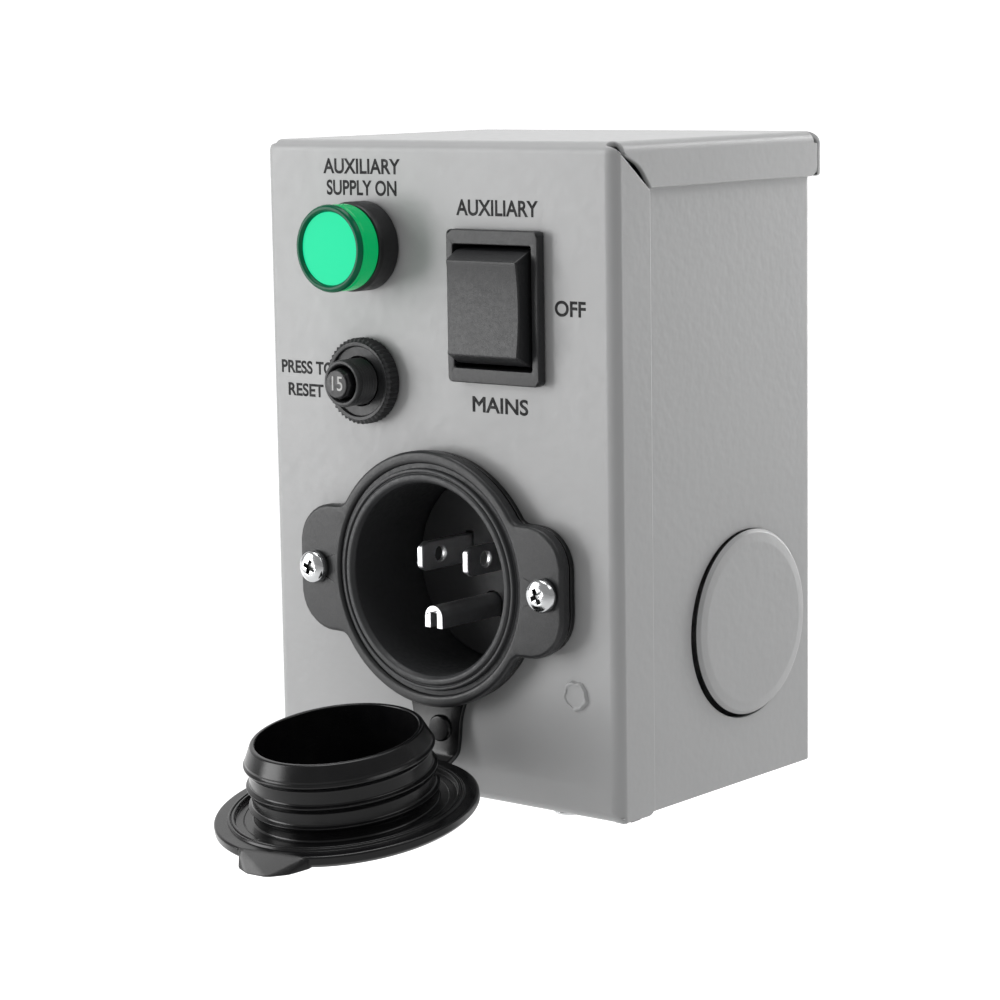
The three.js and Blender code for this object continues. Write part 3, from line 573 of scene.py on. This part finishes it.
def make_box():
    piece = sheet_object("sheet_box", box_skin(), (1, 0, 0))
    knockout = extent("side_knockout_right")
    y, z = (knockout.y0 + knockout.y1) / 2, (knockout.z0 + knockout.z1) / 2
    radius = (knockout.z1 - knockout.z0) / 2 + 0.25
    cutters = keyhole(42) + keyhole(-42)
    cutters.append(rod(radius, -60, 60, Matrix.Translation((0, y - 0.45, z - 0.4)) @ TURN_TO_X))
    corner_y, corner_z = BOX.y0 + 11.5, COVER.z1 - HOOD_FLANGE + 0.8  # the walls clear the hood's mitre
    cutters.append(block((-60, BOX.y0 - 5, corner_z), (60, corner_y, 80)))
    combine(piece, cutters)
    ends = make_box_ends()
    for part in (piece, ends):
        round_edges(part, SHEET_EDGE, 3, 50, clamp=False)
        smooth(part)
    dress(ends, PAINT)
    dress(piece, PAINT, replaces=["back_box"])


def make_box_ends():
    """The box's floor, with its knockout's hole, and its roof, cut back from the hood's mitres."""
    inner_x, inner_y = BOX.x1 - SHEET, BOX.y1 - PAD_RISE - SHEET
    knockout = middle("bottom_knockout")
    plates = []
    for low, holes in ((extent("bottom_knockout").z0, [circle(knockout.x, knockout.y, 14.3)]),
                       (BOX.z1 - SHEET, [])):
        half_depth = (inner_y - BOX.y0) / 2
        border = rounded_rectangle(0, BOX.y0 + half_depth, inner_x - 0.02, half_depth - 0.02, 0.6)
        plates.append(plate([border, *holes], FACE_Z, low, low + SHEET))
    ends = make_object("box_ends", merged(*plates))
    corners = [block((x - 13, BOX.y0 - 5, 55), (x + 13, BOX.y0 + 9, 80)) for x in (-49, 49)]
    combine(ends, corners)
    return ends


def make_knockouts():
    """Pierced discs pushed out of the walls, with a rolled edge outside and a sheared one round them; the side
    discs' side faces are painted near-black as the shade of the gap round them.
    """
    for side, name in ((1, "right"), (-1, "left")):
        node = "side_knockout_" + name
        centre = middle(node)
        e = extent(node)
        outer = e.x1 if side > 0 else -e.x0
        radius = (e.z1 - e.z0) / 2
        profile = [(0, outer - SHEET), (radius - 0.1, outer - SHEET, 0.1), (radius, outer - 0.95, 0.2),
                   (radius - 0.7, outer - 0.2, 0.6), (radius - 2.8, outer, 6), (0, outer)]
        turn = TURN_TO_X if side > 0 else Matrix.Rotation(-math.pi / 2, 4, "Y")
        bm = turned(profile, Matrix.Translation((0, centre.y, centre.z)) @ turn, sides=128)
        piece = make_object("knockout_" + name, bm)
        smooth(piece, sharp=60)
        dress(piece, PAINT, replaces=[node])
        # Faces that look sideways get the near-black painted shade of the gap round the disc.
        piece.data.materials.append(EDGE_SHADE)
        for face in piece.data.polygons:
            if abs(face.normal.x) < 0.4:
                face.material_index = 1
    e = extent("bottom_knockout")
    centre = middle("bottom_knockout")
    radius = 14
    profile = [(0, e.z1), (radius - 0.1, e.z1, 0.1), (radius, e.z0 + 0.5, 0.3), (radius - 0.4, e.z0, 0.4),
               (0, e.z0)]
    piece = make_object("knockout_bottom", turned(profile, Matrix.Translation((centre.x, centre.y, 0))))
    smooth(piece, sharp=60)
    dress(piece, PAINT, replaces=["bottom_knockout"])


# ---- Screws ----
def cross_recess(depth, reach, half):
    """A Phillips recess opening towards -z, with its deepest point at z = 0."""
    arms = []
    for turn in (0, math.pi / 2):
        bm = bmesh.new()
        outline = [(-reach, -depth), (reach, -depth), (reach * 0.55, 0), (-reach * 0.55, 0)]
        low = [bm.verts.new((u, -half, v)) for u, v in outline]
        high = [bm.verts.new((u, half, v)) for u, v in outline]
        bm.faces.new(low)
        bm.faces.new(high)
        for i in range(4):
            bm.faces.new([low[i - 1], low[i], high[i], high[i - 1]])
        bm.transform(Matrix.Rotation(turn, 4, "Z"))
        arms.append(bm)
    return arms


def make_screw(name, node, place, height, shank_end, spin):
    """A pan-head screw whose axis is the place's z; the seat is at z = 0 and the head on its -z side."""
    radius = SCREW_HEAD
    profile = [(0, -height), (radius * 0.6, -height * 0.98, 3), (radius * 0.93, -height * 0.72, 0.9),
               (radius, -height * 0.35, 0.5), (radius, 0, 0.12), (SCREW_SHANK, 0), (SCREW_SHANK, 1)]
    pitch, z = 0.8, 1.2
    while z < shank_end - pitch:
        profile += [(SCREW_SHANK - 0.35, z), (SCREW_SHANK, z + pitch / 2)]
        z += pitch
    profile += [(SCREW_SHANK - 0.4, shank_end), (0, shank_end)]
    piece = make_object(name, turned(profile, Matrix.Rotation(spin, 4, "Z"), sides=64))
    arms = cross_recess(1.9, 2.0, 0.5)
    for arm in arms:
        arm.transform(Matrix.Rotation(spin, 4, "Z") @ Matrix.Translation((0, 0, -height + 1.25)))
    combine(piece, arms)
    mouth, foot = (0.05 - height) * MM, (1.3 - height) * MM
    # The recess's side walls, which get the dark metal of painted shade.
    shaded_recess_faces = [face.index for face in piece.data.polygons
                if face.center.xy.length < 2.1 * MM and abs(face.normal.z) < 0.9
                and mouth < face.center.z < foot]
    piece.data.transform(Matrix.Translation(place.translation * MM) @ place.to_3x3().to_4x4())
    round_edges(piece, 0.06, 2, 50)
    smooth(piece)
    dress(piece, CHROME, replaces=[node])
    # The recess walls get the painted shade.
    piece.data.materials.append(RECESS_SHADE)
    for index in shaded_recess_faces:
        piece.data.polygons[index].material_index = 1


def make_screws():
    """Two in the inlet's flange, and two up through the cover's bottom lip."""
    for name, spin in (("left", 0.35), ("right", 1.1)):
        node = "inlet_screw_" + name
        centre = middle(node)
        seat = extent("inlet_housing").y0 + 0.4 - GAP
        place = along_y(centre.x, centre.z)
        place.translation.y = seat
        make_screw("flange_screw_" + name, node, place, 2.2, extent(node).y1 - seat, spin)
        node = "cover_screw_" + name
        centre = middle(node)
        seat = COVER.z0 - GAP / 2
        place = Matrix.Translation((centre.x, centre.y, seat))
        make_screw("hood_screw_" + name, node, place, 0.85, extent(node).z1 - seat, spin + 0.5)


# ---- Ground stud ----
def make_stud():
    """The ground stud, its dished head painted over, with an uneven rim."""
    e = extent("ground_stud")
    centre = middle("ground_stud")
    seat = COVER.y0 - 0.02
    profile = [(0, e.y0 + 0.3), (2.3, e.y0 + 0.3, 0.3), (2.75, e.y0, 0.15), (3.05, e.y0, 0.15), (3.4, seat),
               (1.9, seat), (1.9, e.y1 - 0.4), (1.5, e.y1), (0, e.y1)]
    bm = turned(profile, along_y(centre.x, centre.z), sides=72)
    for v in bm.verts:
        out = Vector((v.co.x - centre.x, 0, v.co.z - centre.z))
        if out.length > 2.5:
            a = math.atan2(out.z, out.x)
            v.co -= out.normalized() * (0.13 * math.sin(5 * a) + 0.09 * math.sin(9 * a + 1) + 0.2)
    piece = make_object("stud_head", bm)
    smooth(piece, sharp=60)
    dress(piece, PAINT, replaces=["ground_stud"])


# ---- Lamp ----
def make_lamp():
    """A black collar, and the lens in three pieces: its lit window, its wall and its rim."""
    bezel = extent("lamp_bezel")
    lens = extent("lamp_lens")
    place = along_y(LAMP.x, LAMP.z)
    radius = (bezel.x1 - bezel.x0) / 2
    profile = [(7.7, bezel.y1), (7.7, bezel.y0, 0.2), (radius - 0.25, bezel.y0, 0.35),
               (radius, bezel.y0 + 1.0, 0.4), (radius, bezel.y1 - 0.2, 0.2), (radius - 0.2, bezel.y1)]
    piece = make_object("lamp_collar", turned(profile, place, closed=True))
    smooth(piece, sharp=50)
    dress(piece, BLACK, replaces=["lamp_bezel"])

    outer, inner = 9.34, 7.75
    neck, waist = outer - 0.28, outer - 0.1
    front, rear = lens.y0, lens.y1
    window = [(0, front + 0.55), (inner, front + 0.75), (inner, front + 1.8), (0, front + 1.8)]
    wall = [(7, rear), (7, front + 1.85), (outer - 0.5, front + 1.25), (neck, front + 1.4, 0.1),
            (neck, front + 2.1, 0.2), (waist, front + 2.4, 0.2), (waist, rear - 0.5, 0.2),
            (outer - 0.25, rear)]
    rim = [(inner + 0.02, front + 1.1), (inner + 0.05, front + 0.6, 0.2), (inner + 0.35, front, 0.5),
           (outer - 0.35, front, 0.75), (outer, front + 0.75, 0.5), (outer, front + 1.1, 0.15),
           (outer - 0.3, front + 1.22)]
    for name, profile, ring, material in (("window", window, False, GLOW), ("wall", wall, True, LENS),
                                          ("rim", rim, True, RIM)):
        piece = make_object("lamp_" + name, turned(profile, place, closed=ring))
        smooth(piece, sharp=60)
        dress(piece, material, replaces=["lamp_lens"])


# ---- Breaker ----
def breaker_radial(v):
    """A vertex's offset from the breaker's axis, and its angle round it."""
    out = Vector((v.co.x - BREAKER.x, 0, v.co.z - BREAKER.z))
    return out, math.atan2(out.z, out.x)


def make_breaker_nut(place):
    nut = extent("breaker_nut")
    radius = (nut.x1 - nut.x0) / 2
    front = nut.y0
    teeth, depth = 48, 0.45
    profile = [(5.35, nut.y1), (5.35, front + 0.7, 0.2), (7.5, front + 0.7, 0.2), (7.65, front + 0.05, 0.2),
               (8.4, front, 0.2), (8.75, front + 0.25), (radius, front + 0.55), (radius, nut.y1 - 0.3),
               (radius - 0.3, nut.y1)]
    bm = turned(profile, place, closed=True, sides=teeth * 4)
    for v in bm.verts:
        out, angle = breaker_radial(v)
        if out.length > 8.7 and v.co.y < nut.y1 - 0.1:
            v.co -= out.normalized() * depth * (0.5 + 0.5 * math.cos(teeth * angle))
    piece = make_object("knurled_nut", bm)
    smooth(piece, sharp=40)
    dress(piece, CHARCOAL, replaces=["breaker_nut"])


def make_breaker_body(place):
    """The threaded bush, and the case behind the cover."""
    bush, bore = 5.1, 3.8
    front = extent("breaker_case").y0
    profile = [(bore, -69), (bore, front + 0.6, 0.3), (bore + 0.35, front, 0.4), (bush - 0.15, front, 0.5),
               (bush, front + 0.7, 0.3), (bush, front + 1.2, 0.2), (bush - 0.4, front + 1.4, 0.1)]
    pitch, y = 0.8, front + 1.5
    while y < extent("breaker_nut").y0 + 1.0:
        profile += [(bush - 0.42, y), (bush, y + pitch / 2, 0.08)]
        y += pitch
    profile += [(bush - 0.3, y), (bush - 0.3, COVER.y0 + 4)]
    border = rounded_rectangle(BREAKER.x, BREAKER.z, 7.5, 16, 1)
    case_front, case_rear = COVER.y0 + SHEET + 1.7, -45
    case = plate([border, circle(BREAKER.x, BREAKER.z, bore, 48)], FACE_Y, case_front, case_rear)
    piece = make_object("breaker_body", merged(turned(profile, place, closed=True), case))
    smooth(piece, sharp=40)
    dress(piece, CHARCOAL, replaces=["breaker_case"])


def make_breaker_button(place):
    """The reset button, eight facets round its front edge, with its shaft and the collar in the case."""
    button = extent("breaker_button")
    radius, shaft, collar = 3.35, 1.6, 4.2
    front, rear = button.y0, button.y1
    profile = [(0, front + 0.05), (2.75, front, 0.1), (2.95, front + 0.08, 0.1), (3.1, front + 0.5, 0.1),
               (radius, front + 1.0, 0.1), (radius, front + 7, 0.3), (shaft, front + 8),
               (shaft, rear - 1.5), (collar, rear - 1.5), (collar, rear), (0, rear)]
    bm = turned(profile, place, sides=96)
    for v in bm.verts:
        out, angle = breaker_radial(v)
        if out.length > 3.0 and v.co.y < front + 1.3:
            facet = math.cos(math.pi / 8) / math.cos((angle % (math.pi / 4)) - math.pi / 8)
            v.co += out.normalized() * (min(1.0, facet * 1.01) - 1) * out.length
    piece = make_object("reset_button", bm)
    smooth(piece, sharp=25)
    dress(piece, BLACK, body="button", replaces=["breaker_button"])


def make_breaker():
    place = along_y(BREAKER.x, BREAKER.z)
    make_breaker_nut(place)
    make_breaker_body(place)
    make_breaker_button(place)


# ---- Switch ----
def make_switch_frame():
    """The rim on the cover, and the body behind it with its floor."""
    housing = extent("switch_housing")
    seat = COVER.y0 - GAP
    floor_y = -50
    outer = rounded_rectangle(SWITCH.x, SWITCH.z, 12.2, 16, 1.2)
    mouth = rounded_rectangle(SWITCH.x, SWITCH.z, 10.4, 12.9, 0.5)
    sleeve = rounded_rectangle(SWITCH.x, SWITCH.z, 11.2, 14.8, 0.8)
    rim = plate([outer, mouth], FACE_Y, housing.y0, seat)
    body = plate([sleeve, mouth], FACE_Y, seat - 0.2, floor_y)
    floor = plate([sleeve], FACE_Y, floor_y, housing.y1)
    piece = make_object("switch_frame", merged(rim, body, floor))
    round_edges(piece, 0.3, 3, clamp=False)
    smooth(piece)
    dress(piece, CHARCOAL, replaces=["switch_housing"])


def make_rocker():
    """A dished face between two sloping flanks, and a body that narrows inwards to its pivot."""
    rocker = extent("switch_rocker")
    half = (rocker.x1 - rocker.x0) / 2
    depth = COVER.y0
    chord, dish, tip = 9.85, 0.8, rocker.y0
    face = [(tip + dish * (1 - t * t), SWITCH.z + t * chord) for t in (i / 10 for i in range(-9, 10))]
    flank = [(tip, chord), (depth - 2.6, 11.7), (depth, 12.2), (depth + 2.6, 12.2), (depth + 6, 10.5),
             (depth + 9, 4), (depth + 13.5, 2)]
    upper = [(y, SWITCH.z + z) for y, z in flank]
    lower = [(y, SWITCH.z - z) for y, z in flank]
    outline = upper[::-1] + face[::-1] + lower
    bm = plate([[Vector(p) for p in outline]], FACE_X, SWITCH.x - half, SWITCH.x + half)
    for v in bm.verts:
        inward = 0.55 * max(0.0, min(1.0, (depth - v.co.y) / (depth - tip)))
        v.co.x -= math.copysign(inward, v.co.x - SWITCH.x)
    piece = make_object("rocker_cap", bm)
    round_edges(piece, 0.35, 3, 25)
    smooth(piece)
    dress(piece, CHARCOAL, body="rocker", replaces=["switch_rocker"])


# ---- Inlet ----
def eared_outline(inset):
    """A disc with two square ears, joined by concave fillets."""
    radius = FLANGE - inset
    ear_x, ear_z, corner = 36.5 - inset, 14 - inset, 9.0
    blend = 3.0
    angle = math.degrees(math.asin((ear_z + blend) / (radius + blend)))
    hip_x = (radius + blend) * math.cos(math.radians(angle))
    quarter = [Vector(p) for p in arc((ear_x - corner, ear_z - corner), corner, 0, 90, 10)]
    quarter += arc((hip_x, ear_z + blend), blend, 270, 180 + angle, 6)
    quarter += arc((0, 0), radius, angle, 90, 20)[1:]
    mirrored = [Vector((-p.x, p.y)) for p in quarter[::-1]][1:]
    half = quarter + mirrored
    whole = half + [Vector((p.x, -p.y)) for p in half[::-1]]
    return [Vector((p.x + INLET.x, p.y + INLET.z)) for p in whole]


def eared_plate(inset, bore, low, high):
    """A plate of the flange's outline, with a round opening and two screw holes."""
    screws = [middle("inlet_screw_" + side) for side in ("left", "right")]
    holes = [circle(screw.x, screw.z, SCREW_HOLE, 32) for screw in screws]
    return plate([eared_outline(inset), circle(INLET.x, INLET.z, bore), *holes], FACE_Y, low, high)


def make_inlet():
    """The eared flange, and the cup with two raised rings round its mouth."""
    housing = extent("inlet_housing")
    front = housing.y0
    flange_rear = COVER.y0 - 2
    flange = make_object("inlet_flange", eared_plate(0.0, 24.9, front + 0.4, flange_rear))
    round_edges(flange, 0.9, 4, 50, clamp=False)
    smooth(flange)
    dress(flange, CHARCOAL, replaces=["inlet_housing"])

    floor, rear, boss = -55.3, housing.y1, 18
    profile = [(MOUTH, floor), (MOUTH, front + 0.9, 0.9), (21.5, front, 0.7), (22.5, front, 0.5),
               (22.85, front + 0.55, 0.1), (23.0, front + 0.55, 0.1), (23.15, front + 0.15, 0.3),
               (23.75, front + 0.15, 0.3), (23.95, front + 1.15, 0.15), (24.9, front + 1.15, 0.1),
               (25.2, front + 1.4), (25.2, flange_rear - 0.4), (CUP, flange_rear - 0.2), (CUP, floor + 3),
               (boss, floor + 3), (boss, rear, 0.6), (0, rear), (0, floor)]
    cup = make_object("inlet_cup", turned(profile, along_y(INLET.x, INLET.z), sides=128))
    smooth(cup, sharp=45)
    # Painted light: the cup wears the paler insert plastic instead of the charcoal, to lighten its dim inside.
    dress(cup, INSERT)


# ---- Rubber ----
LID_RADIUS = 27.8
LID_THICK = 2.65


def lid_place():
    """From the lid's own frame, its disc flat with the sleeve upwards, to where it hangs open."""
    hinge = next(j for j in frame["joints"] if j["name"] == "lid_hinge")
    pivot = Vector(hinge["pos_m"]) * 1000
    opened = math.radians(hinge["range_deg"][1])
    closed_face = Matrix.Translation((INLET.x, COVER.y0 - 5.99, INLET.z)) @ TURN_TO_Y
    swing = Matrix.Translation(pivot) @ Matrix.Rotation(opened, 4, "X") @ Matrix.Translation(-pivot)
    return swing @ closed_face


# The thumb lug in the lid's own frame: a sloping flat across the rim, standing below the disc.
LUG_TOP = [(-5.7, -26.9, 0), (12.2, -25.2, 0)]
LUG_FOOT = [(-5.5, -28.2, -4.2), (-2.5, -28.9, -4.7), (3, -28.8, -4.6), (8, -27.6, -3.7),
            (12.2, -25.6, -2.4)]
LUG_ROOT = [(-5.6, -19, -0.6), (12, -19, -0.6), (-5.5, -20, -2.7), (12, -19, -2.5), (-4, -23, -4.2),
            (4, -23, -4.0)]


def hull(points):
    bm = bmesh.new()
    for point in points:
        bm.verts.new(point)
    bmesh.ops.convex_hull(bm, input=bm.verts[:])
    return bm


def lug():
    bm = hull([Vector(p) - Vector((0, 0, 0.03)) for p in LUG_TOP] + LUG_FOOT + LUG_ROOT)
    bmesh.ops.dissolve_limit(bm, angle_limit=0.03, verts=bm.verts[:], edges=bm.edges[:])
    bmesh.ops.bevel(bm, geom=bm.edges[:], offset=0.5, segments=3, profile=0.5, affect="EDGES")
    return bm


def beyond_lug():
    """The space in front of the lug's flat, which is cut from the rim."""
    top = [Vector(p) for p in LUG_TOP]
    along = (top[1] - top[0]).normalized()
    out = Vector((along.y, -along.x, 0))
    slope = Vector((0, 0, -1)) * 4.4 + out * 1.7
    near = [top[0] - slope * 0.3, top[1] - slope * 0.3, top[0] + slope, top[1] + slope]
    return hull(near + [p + out * 6 for p in near])


def make_lid():
    """A disc with sealing lips round its rim, a ribbed sleeve, and the thumb lug."""
    sleeve, bore, outer, rib = 15.7, 17.1, 19.2, 20.05  # the sleeve's height, and radii
    fins = []
    for height in (2.6, 7.0, 11.6):
        fins += [(outer, height - 1.1, 1.2), (rib - 0.05, height - 0.2, 0.12), (rib, height + 0.1, 0.12),
                 (outer if height < 11 else rib - 0.45, height + 0.5, 0.5)]
    disc = [(0, -LID_THICK), (9, -LID_THICK), (18, -LID_THICK), (LID_RADIUS - 0.9, -LID_THICK, 0.9),
            (LID_RADIUS, -LID_THICK + 0.9, 0.5), (LID_RADIUS, 0, 0.5)]
    lips = [(24.95, 0, 0.1), (24.75, 0.5, 0.2), (24.35, 0.5, 0.2), (24.15, 0, 0.1), (23.95, 0.5, 0.2),
            (23.5, 0.5, 0.2), (23.2, -0.5, 0.2), (21.65, -0.5), (21.5, -0.38, 0.05), (21.35, -0.5)]
    mouth = [(rib - 0.5, 12.6, 0.4), (bore + 1.0, sleeve, 0.6), (bore + 0.15, sleeve, 0.25),
             (bore, sleeve - 0.2, 0.15), (bore, 12), (bore - 0.25, 0.6, 0.8), (0, 0.6)]
    profile = [*disc, *lips, (outer, -0.5, 0.6), *fins, *mouth]
    lid = make_object("weather_lid", turned(profile, Matrix.Identity(4), sides=144))
    combine(lid, [beyond_lug()])
    combine(lid, [lug()], "UNION")
    place = lid_place()
    place.translation *= MM
    lid.data.transform(place)
    round_edges(lid, 0.12, 2, 55)
    smooth(lid, sharp=30)
    dress(lid, RUBBER, body="lid", replaces=["inlet_lid"])


def make_gasket():
    gasket = extent("inlet_gasket")
    piece = make_object("flange_gasket", eared_plate(0.3, 22.9, gasket.y0, gasket.y1))
    round_edges(piece, 0.25, 2, 50)
    smooth(piece)
    dress(piece, RUBBER, replaces=["inlet_gasket"])


def bezier(points, t):
    """A point on a smooth curve through four control points."""
    a, b, c, d = (Vector(p) for p in points)
    s = 1 - t
    return a * s ** 3 + b * 3 * s * s * t + c * 3 * s * t * t + d * t ** 3


def make_strap():
    """The rubber strap from the gasket's foot down and out to the lid's edge, with a boss on its front."""
    gasket = extent("inlet_gasket")
    thick = gasket.y1 - gasket.y0
    middle_y = (gasket.y0 + gasket.y1) / 2
    edge = lid_place() @ Vector((0, LID_RADIUS - 1.2, -LID_THICK / 2))
    route = [(middle_y, -45.5, 0), (middle_y, -57.5, 0), (middle_y - 0.6, edge.z + 0.6, 0),
             (edge.y, edge.z, 0)]
    section = [(-1, 0.6), (-0.95, 1), (-0.5, 1), (0, 1), (0.5, 1), (0.95, 1), (1, 0.6)]
    section += [(u, -v) for u, v in section[::-1]]
    half_width, slimmer = 7.3, 1.6  # on the left, and by how much the right is slimmer
    steps = 32
    rows = []
    for i in range(steps + 1):
        t = i / steps
        here = bezier(route, t)
        ahead = bezier(route, min(1, t + 0.01)) - bezier(route, max(0, t - 0.01))
        across = Vector((-ahead.y, ahead.x, 0)).normalized() * thick / 2
        left = half_width - 2.6 * max(0, t - 0.6) / 0.4 + 3.0 * max(0, 1 - t / 0.3) ** 2
        rows.append([(INLET.x + u * (left if u < 0 else left - slimmer), here.x + across.x * v,
                      here.y + across.y * v) for u, v in section])
    bm = bmesh.new()
    strip(bm, rows, closed=True)
    bm.verts.ensure_lookup_table()
    bm.faces.new(bm.verts[:len(section)])
    bm.faces.new(bm.verts[-len(section):])
    place = Matrix.Translation((INLET.x + 0.4, middle_y - thick / 2 - 0.1, -55.2)) @ TURN_TO_Y
    boss = turned([(0, -0.9), (2.6, -0.9, 0.3), (3.0, -0.45, 0.2), (3.0, 0.3), (0, 0.3)], place, sides=48)
    piece = make_object("lid_strap", merged(bm, boss))
    smooth(piece, sharp=50)
    piece.data.materials.append(RUBBER)
    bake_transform(piece)


# ---- Lettering ----
INK_THICKNESS = 0.02
INK_LIFT = 0.015  # the ink's middle from the surface it is on


def lettering(name, words, height, width, x, y, z, material=INK, body="root", stroke=0.12):
    """Generic painted words of that height and width about (x, z); stroke widens their lines all round."""
    curve = bpy.data.curves.new(name, "FONT")
    curve.body = words
    curve.align_x = "CENTER"
    curve.align_y = "CENTER"
    curve.size = height * 1.4 * MM
    curve.bevel_depth = stroke * MM
    curve.bevel_resolution = 1
    text = bpy.data.objects.new(name, curve)
    bpy.context.scene.collection.objects.link(text)
    bpy.context.view_layer.update()
    mesh = bpy.data.meshes.new_from_object(text.evaluated_get(bpy.context.evaluated_depsgraph_get()))
    bpy.data.objects.remove(text)
    wide = max(v.co.x for v in mesh.vertices) - min(v.co.x for v in mesh.vertices)
    tall = max(v.co.y for v in mesh.vertices) - min(v.co.y for v in mesh.vertices)
    fit = Matrix.Diagonal((width * MM / wide, height * MM / tall, INK_THICKNESS / stroke, 1))
    place = Matrix.Translation(Vector((x, y, z)) * MM) @ Matrix.Rotation(math.pi / 2, 4, "X")
    mesh.transform(place @ fit)
    piece = bpy.data.objects.new(name, mesh)
    bpy.context.scene.collection.objects.link(piece)
    dress(piece, material, body)


def make_lettering():
    y = COVER.y0 - INK_LIFT
    lettering("label_lamp_upper", "AUXILIARY", 3.3, 22, LAMP.x - 1, y, 64.4)
    lettering("label_lamp_lower", "SUPPLY ON", 3.3, 20, LAMP.x - 1, y, 59.8)
    lettering("label_switch_upper", "AUXILIARY", 3.4, 21.9, 17.45, y, 56.2)
    lettering("label_switch_right", "OFF", 3.3, 8, 36.4, y, 36.1)
    lettering("label_switch_lower", "MAINS", 3.4, 15, 17.5, y, 15.1)
    lettering("label_breaker_upper", "PRESS TO", 2.9, 15.5, -36.9, y, 20.3)
    lettering("label_breaker_lower", "RESET", 2.9, 10.5, -37.6, y, 15.3)
    y = extent("breaker_button").y0 - INK_LIFT
    lettering("label_button", "15", 3.1, 3.0, BREAKER.x, y, BREAKER.z, WHITE_INK, "button", 0.02)


# ---- Parts that keep their CAD shape ----
KEPT = {
    "plated_steel": STEEL, "contact_brass": BRASS, "charcoal_plastic": CHARCOAL, "black_plastic": BLACK,
    "black_insulation": BLACK_VINYL, "white_insulation": WHITE_VINYL, "green_insulation": GREEN_VINYL,
    "clear_lens": CLEAR, "painted_sheet": PAINT, "bright_screw": CHROME, "black_rubber": RUBBER,
    "green_lens": LENS,
}
KEPT_ROUNDING = {"inlet_blade_line": 0.42, "inlet_blade_neutral": 0.42, "inlet_ground_pin": 0.5}


def dress_kept():
    slots = {s["node"]: s["material_slot"] for s in frame["record"]["subparts"]}
    for name, node in frame["nodes"].items():
        node.data.materials.clear()
        node.data.materials.append(INSERT if name == "inlet_insert" else KEPT[slots[name]])
        if node.hide_render:
            continue
        weld = node.modifiers.new("weld", "WELD")
        weld.merge_threshold = 0.01 * MM
        round_edges(node, KEPT_ROUNDING.get(name, 0.15))
        smooth(node, weight=50)


# ---- Stage, in metres ----
LIGHTS = [  # name, direction from the object, distance, width and height, watts
    ("key", (-0.95, -0.9, 0.2), 1.2, (0.6, 0.9), 9.0),
    ("top", (-0.1, -0.1, 1.0), 1.0, (0.6, 0.6), 5.1),
    ("fill", (0.7, 0.1, 0.9), 1.2, (0.7, 0.5), 1.9),
    ("rim", (0.3, 1.0, 0.25), 1.2, (0.3, 0.9), 7.5),
]
LIGHTS_CENTRE = Vector((0, -0.04, 0))
WORLD_LEVEL = 0.30
WORLD_BACK = Vector((-0.63, 0.77, -0.1))  # towards the bright backdrop
BACKDROP = 0.85
FLOOR_Z = -0.35


def lobe(nodes, links, source, direction, reach, levels):
    """A brightness that rises smoothly towards that direction."""
    dot = nodes.new("ShaderNodeVectorMath")
    dot.operation = "DOT_PRODUCT"
    dot.inputs[1].default_value = direction
    links.new(source, dot.inputs[0])
    spread = map_range(nodes, links, dot.outputs["Value"], reach, levels)
    spread.interpolation_type = "SMOOTHSTEP"
    return spread.outputs["Result"]


def make_world():
    """Dim all round, with a bright backdrop."""
    world = bpy.data.worlds.new("studio")
    bpy.context.scene.world = world
    world.use_nodes = True
    nodes, links = world.node_tree.nodes, world.node_tree.links
    place = nodes.new("ShaderNodeTexCoord")
    level = lobe(nodes, links, place.outputs["Generated"], WORLD_BACK, (0.35, 0.95),
                 (WORLD_LEVEL, WORLD_LEVEL + BACKDROP))
    links.new(level, nodes["Background"].inputs["Strength"])
    nodes["Background"].inputs["Color"].default_value = (1, 1, 1, 1)


def make_floor():
    """A pale floor, paler under the backdrop."""
    bm = bmesh.new()
    bmesh.ops.create_grid(bm, x_segments=1, y_segments=1, size=20 / MM)
    bm.transform(Matrix.Translation((0, 0, FLOOR_Z / MM)))
    floor = make_object("floor", bm)
    pale = new_material("pale_floor", (0.65, 0.65, 0.65), 0.9, Emission_Color=(1, 1, 1, 1))
    nodes, links = pale.node_tree.nodes, pale.node_tree.links
    place = nodes.new("ShaderNodeTexCoord")
    level = lobe(nodes, links, place.outputs["Object"], WORLD_BACK, (0.1, 0.6), (0.15, 0.9))
    links.new(level, nodes["Principled BSDF"].inputs["Emission Strength"])
    floor.data.materials.append(pale)


def make_lights():
    for name, direction, distance, size, power in LIGHTS:
        light = bpy.data.lights.new(name, "AREA")
        light.shape = "RECTANGLE"
        light.size, light.size_y = size
        light.energy = power
        lamp = bpy.data.objects.new(name, light)
        towards = Vector(direction).normalized()
        lamp.location = towards * distance + LIGHTS_CENTRE
        lamp.rotation_mode = "QUATERNION"
        lamp.rotation_quaternion = towards.to_track_quat("Z", "Y")
        bpy.context.scene.collection.objects.link(lamp)


make_camera()
make_cover()
make_box()
make_knockouts()
make_screws()
make_stud()
make_lamp()
make_breaker()
make_switch_frame()
make_rocker()
make_inlet()
make_lid()
make_gasket()
make_strap()
make_lettering()
dress_kept()
make_floor()
make_world()
make_lights()
bpy.context.scene.view_settings.view_transform = "Standard"
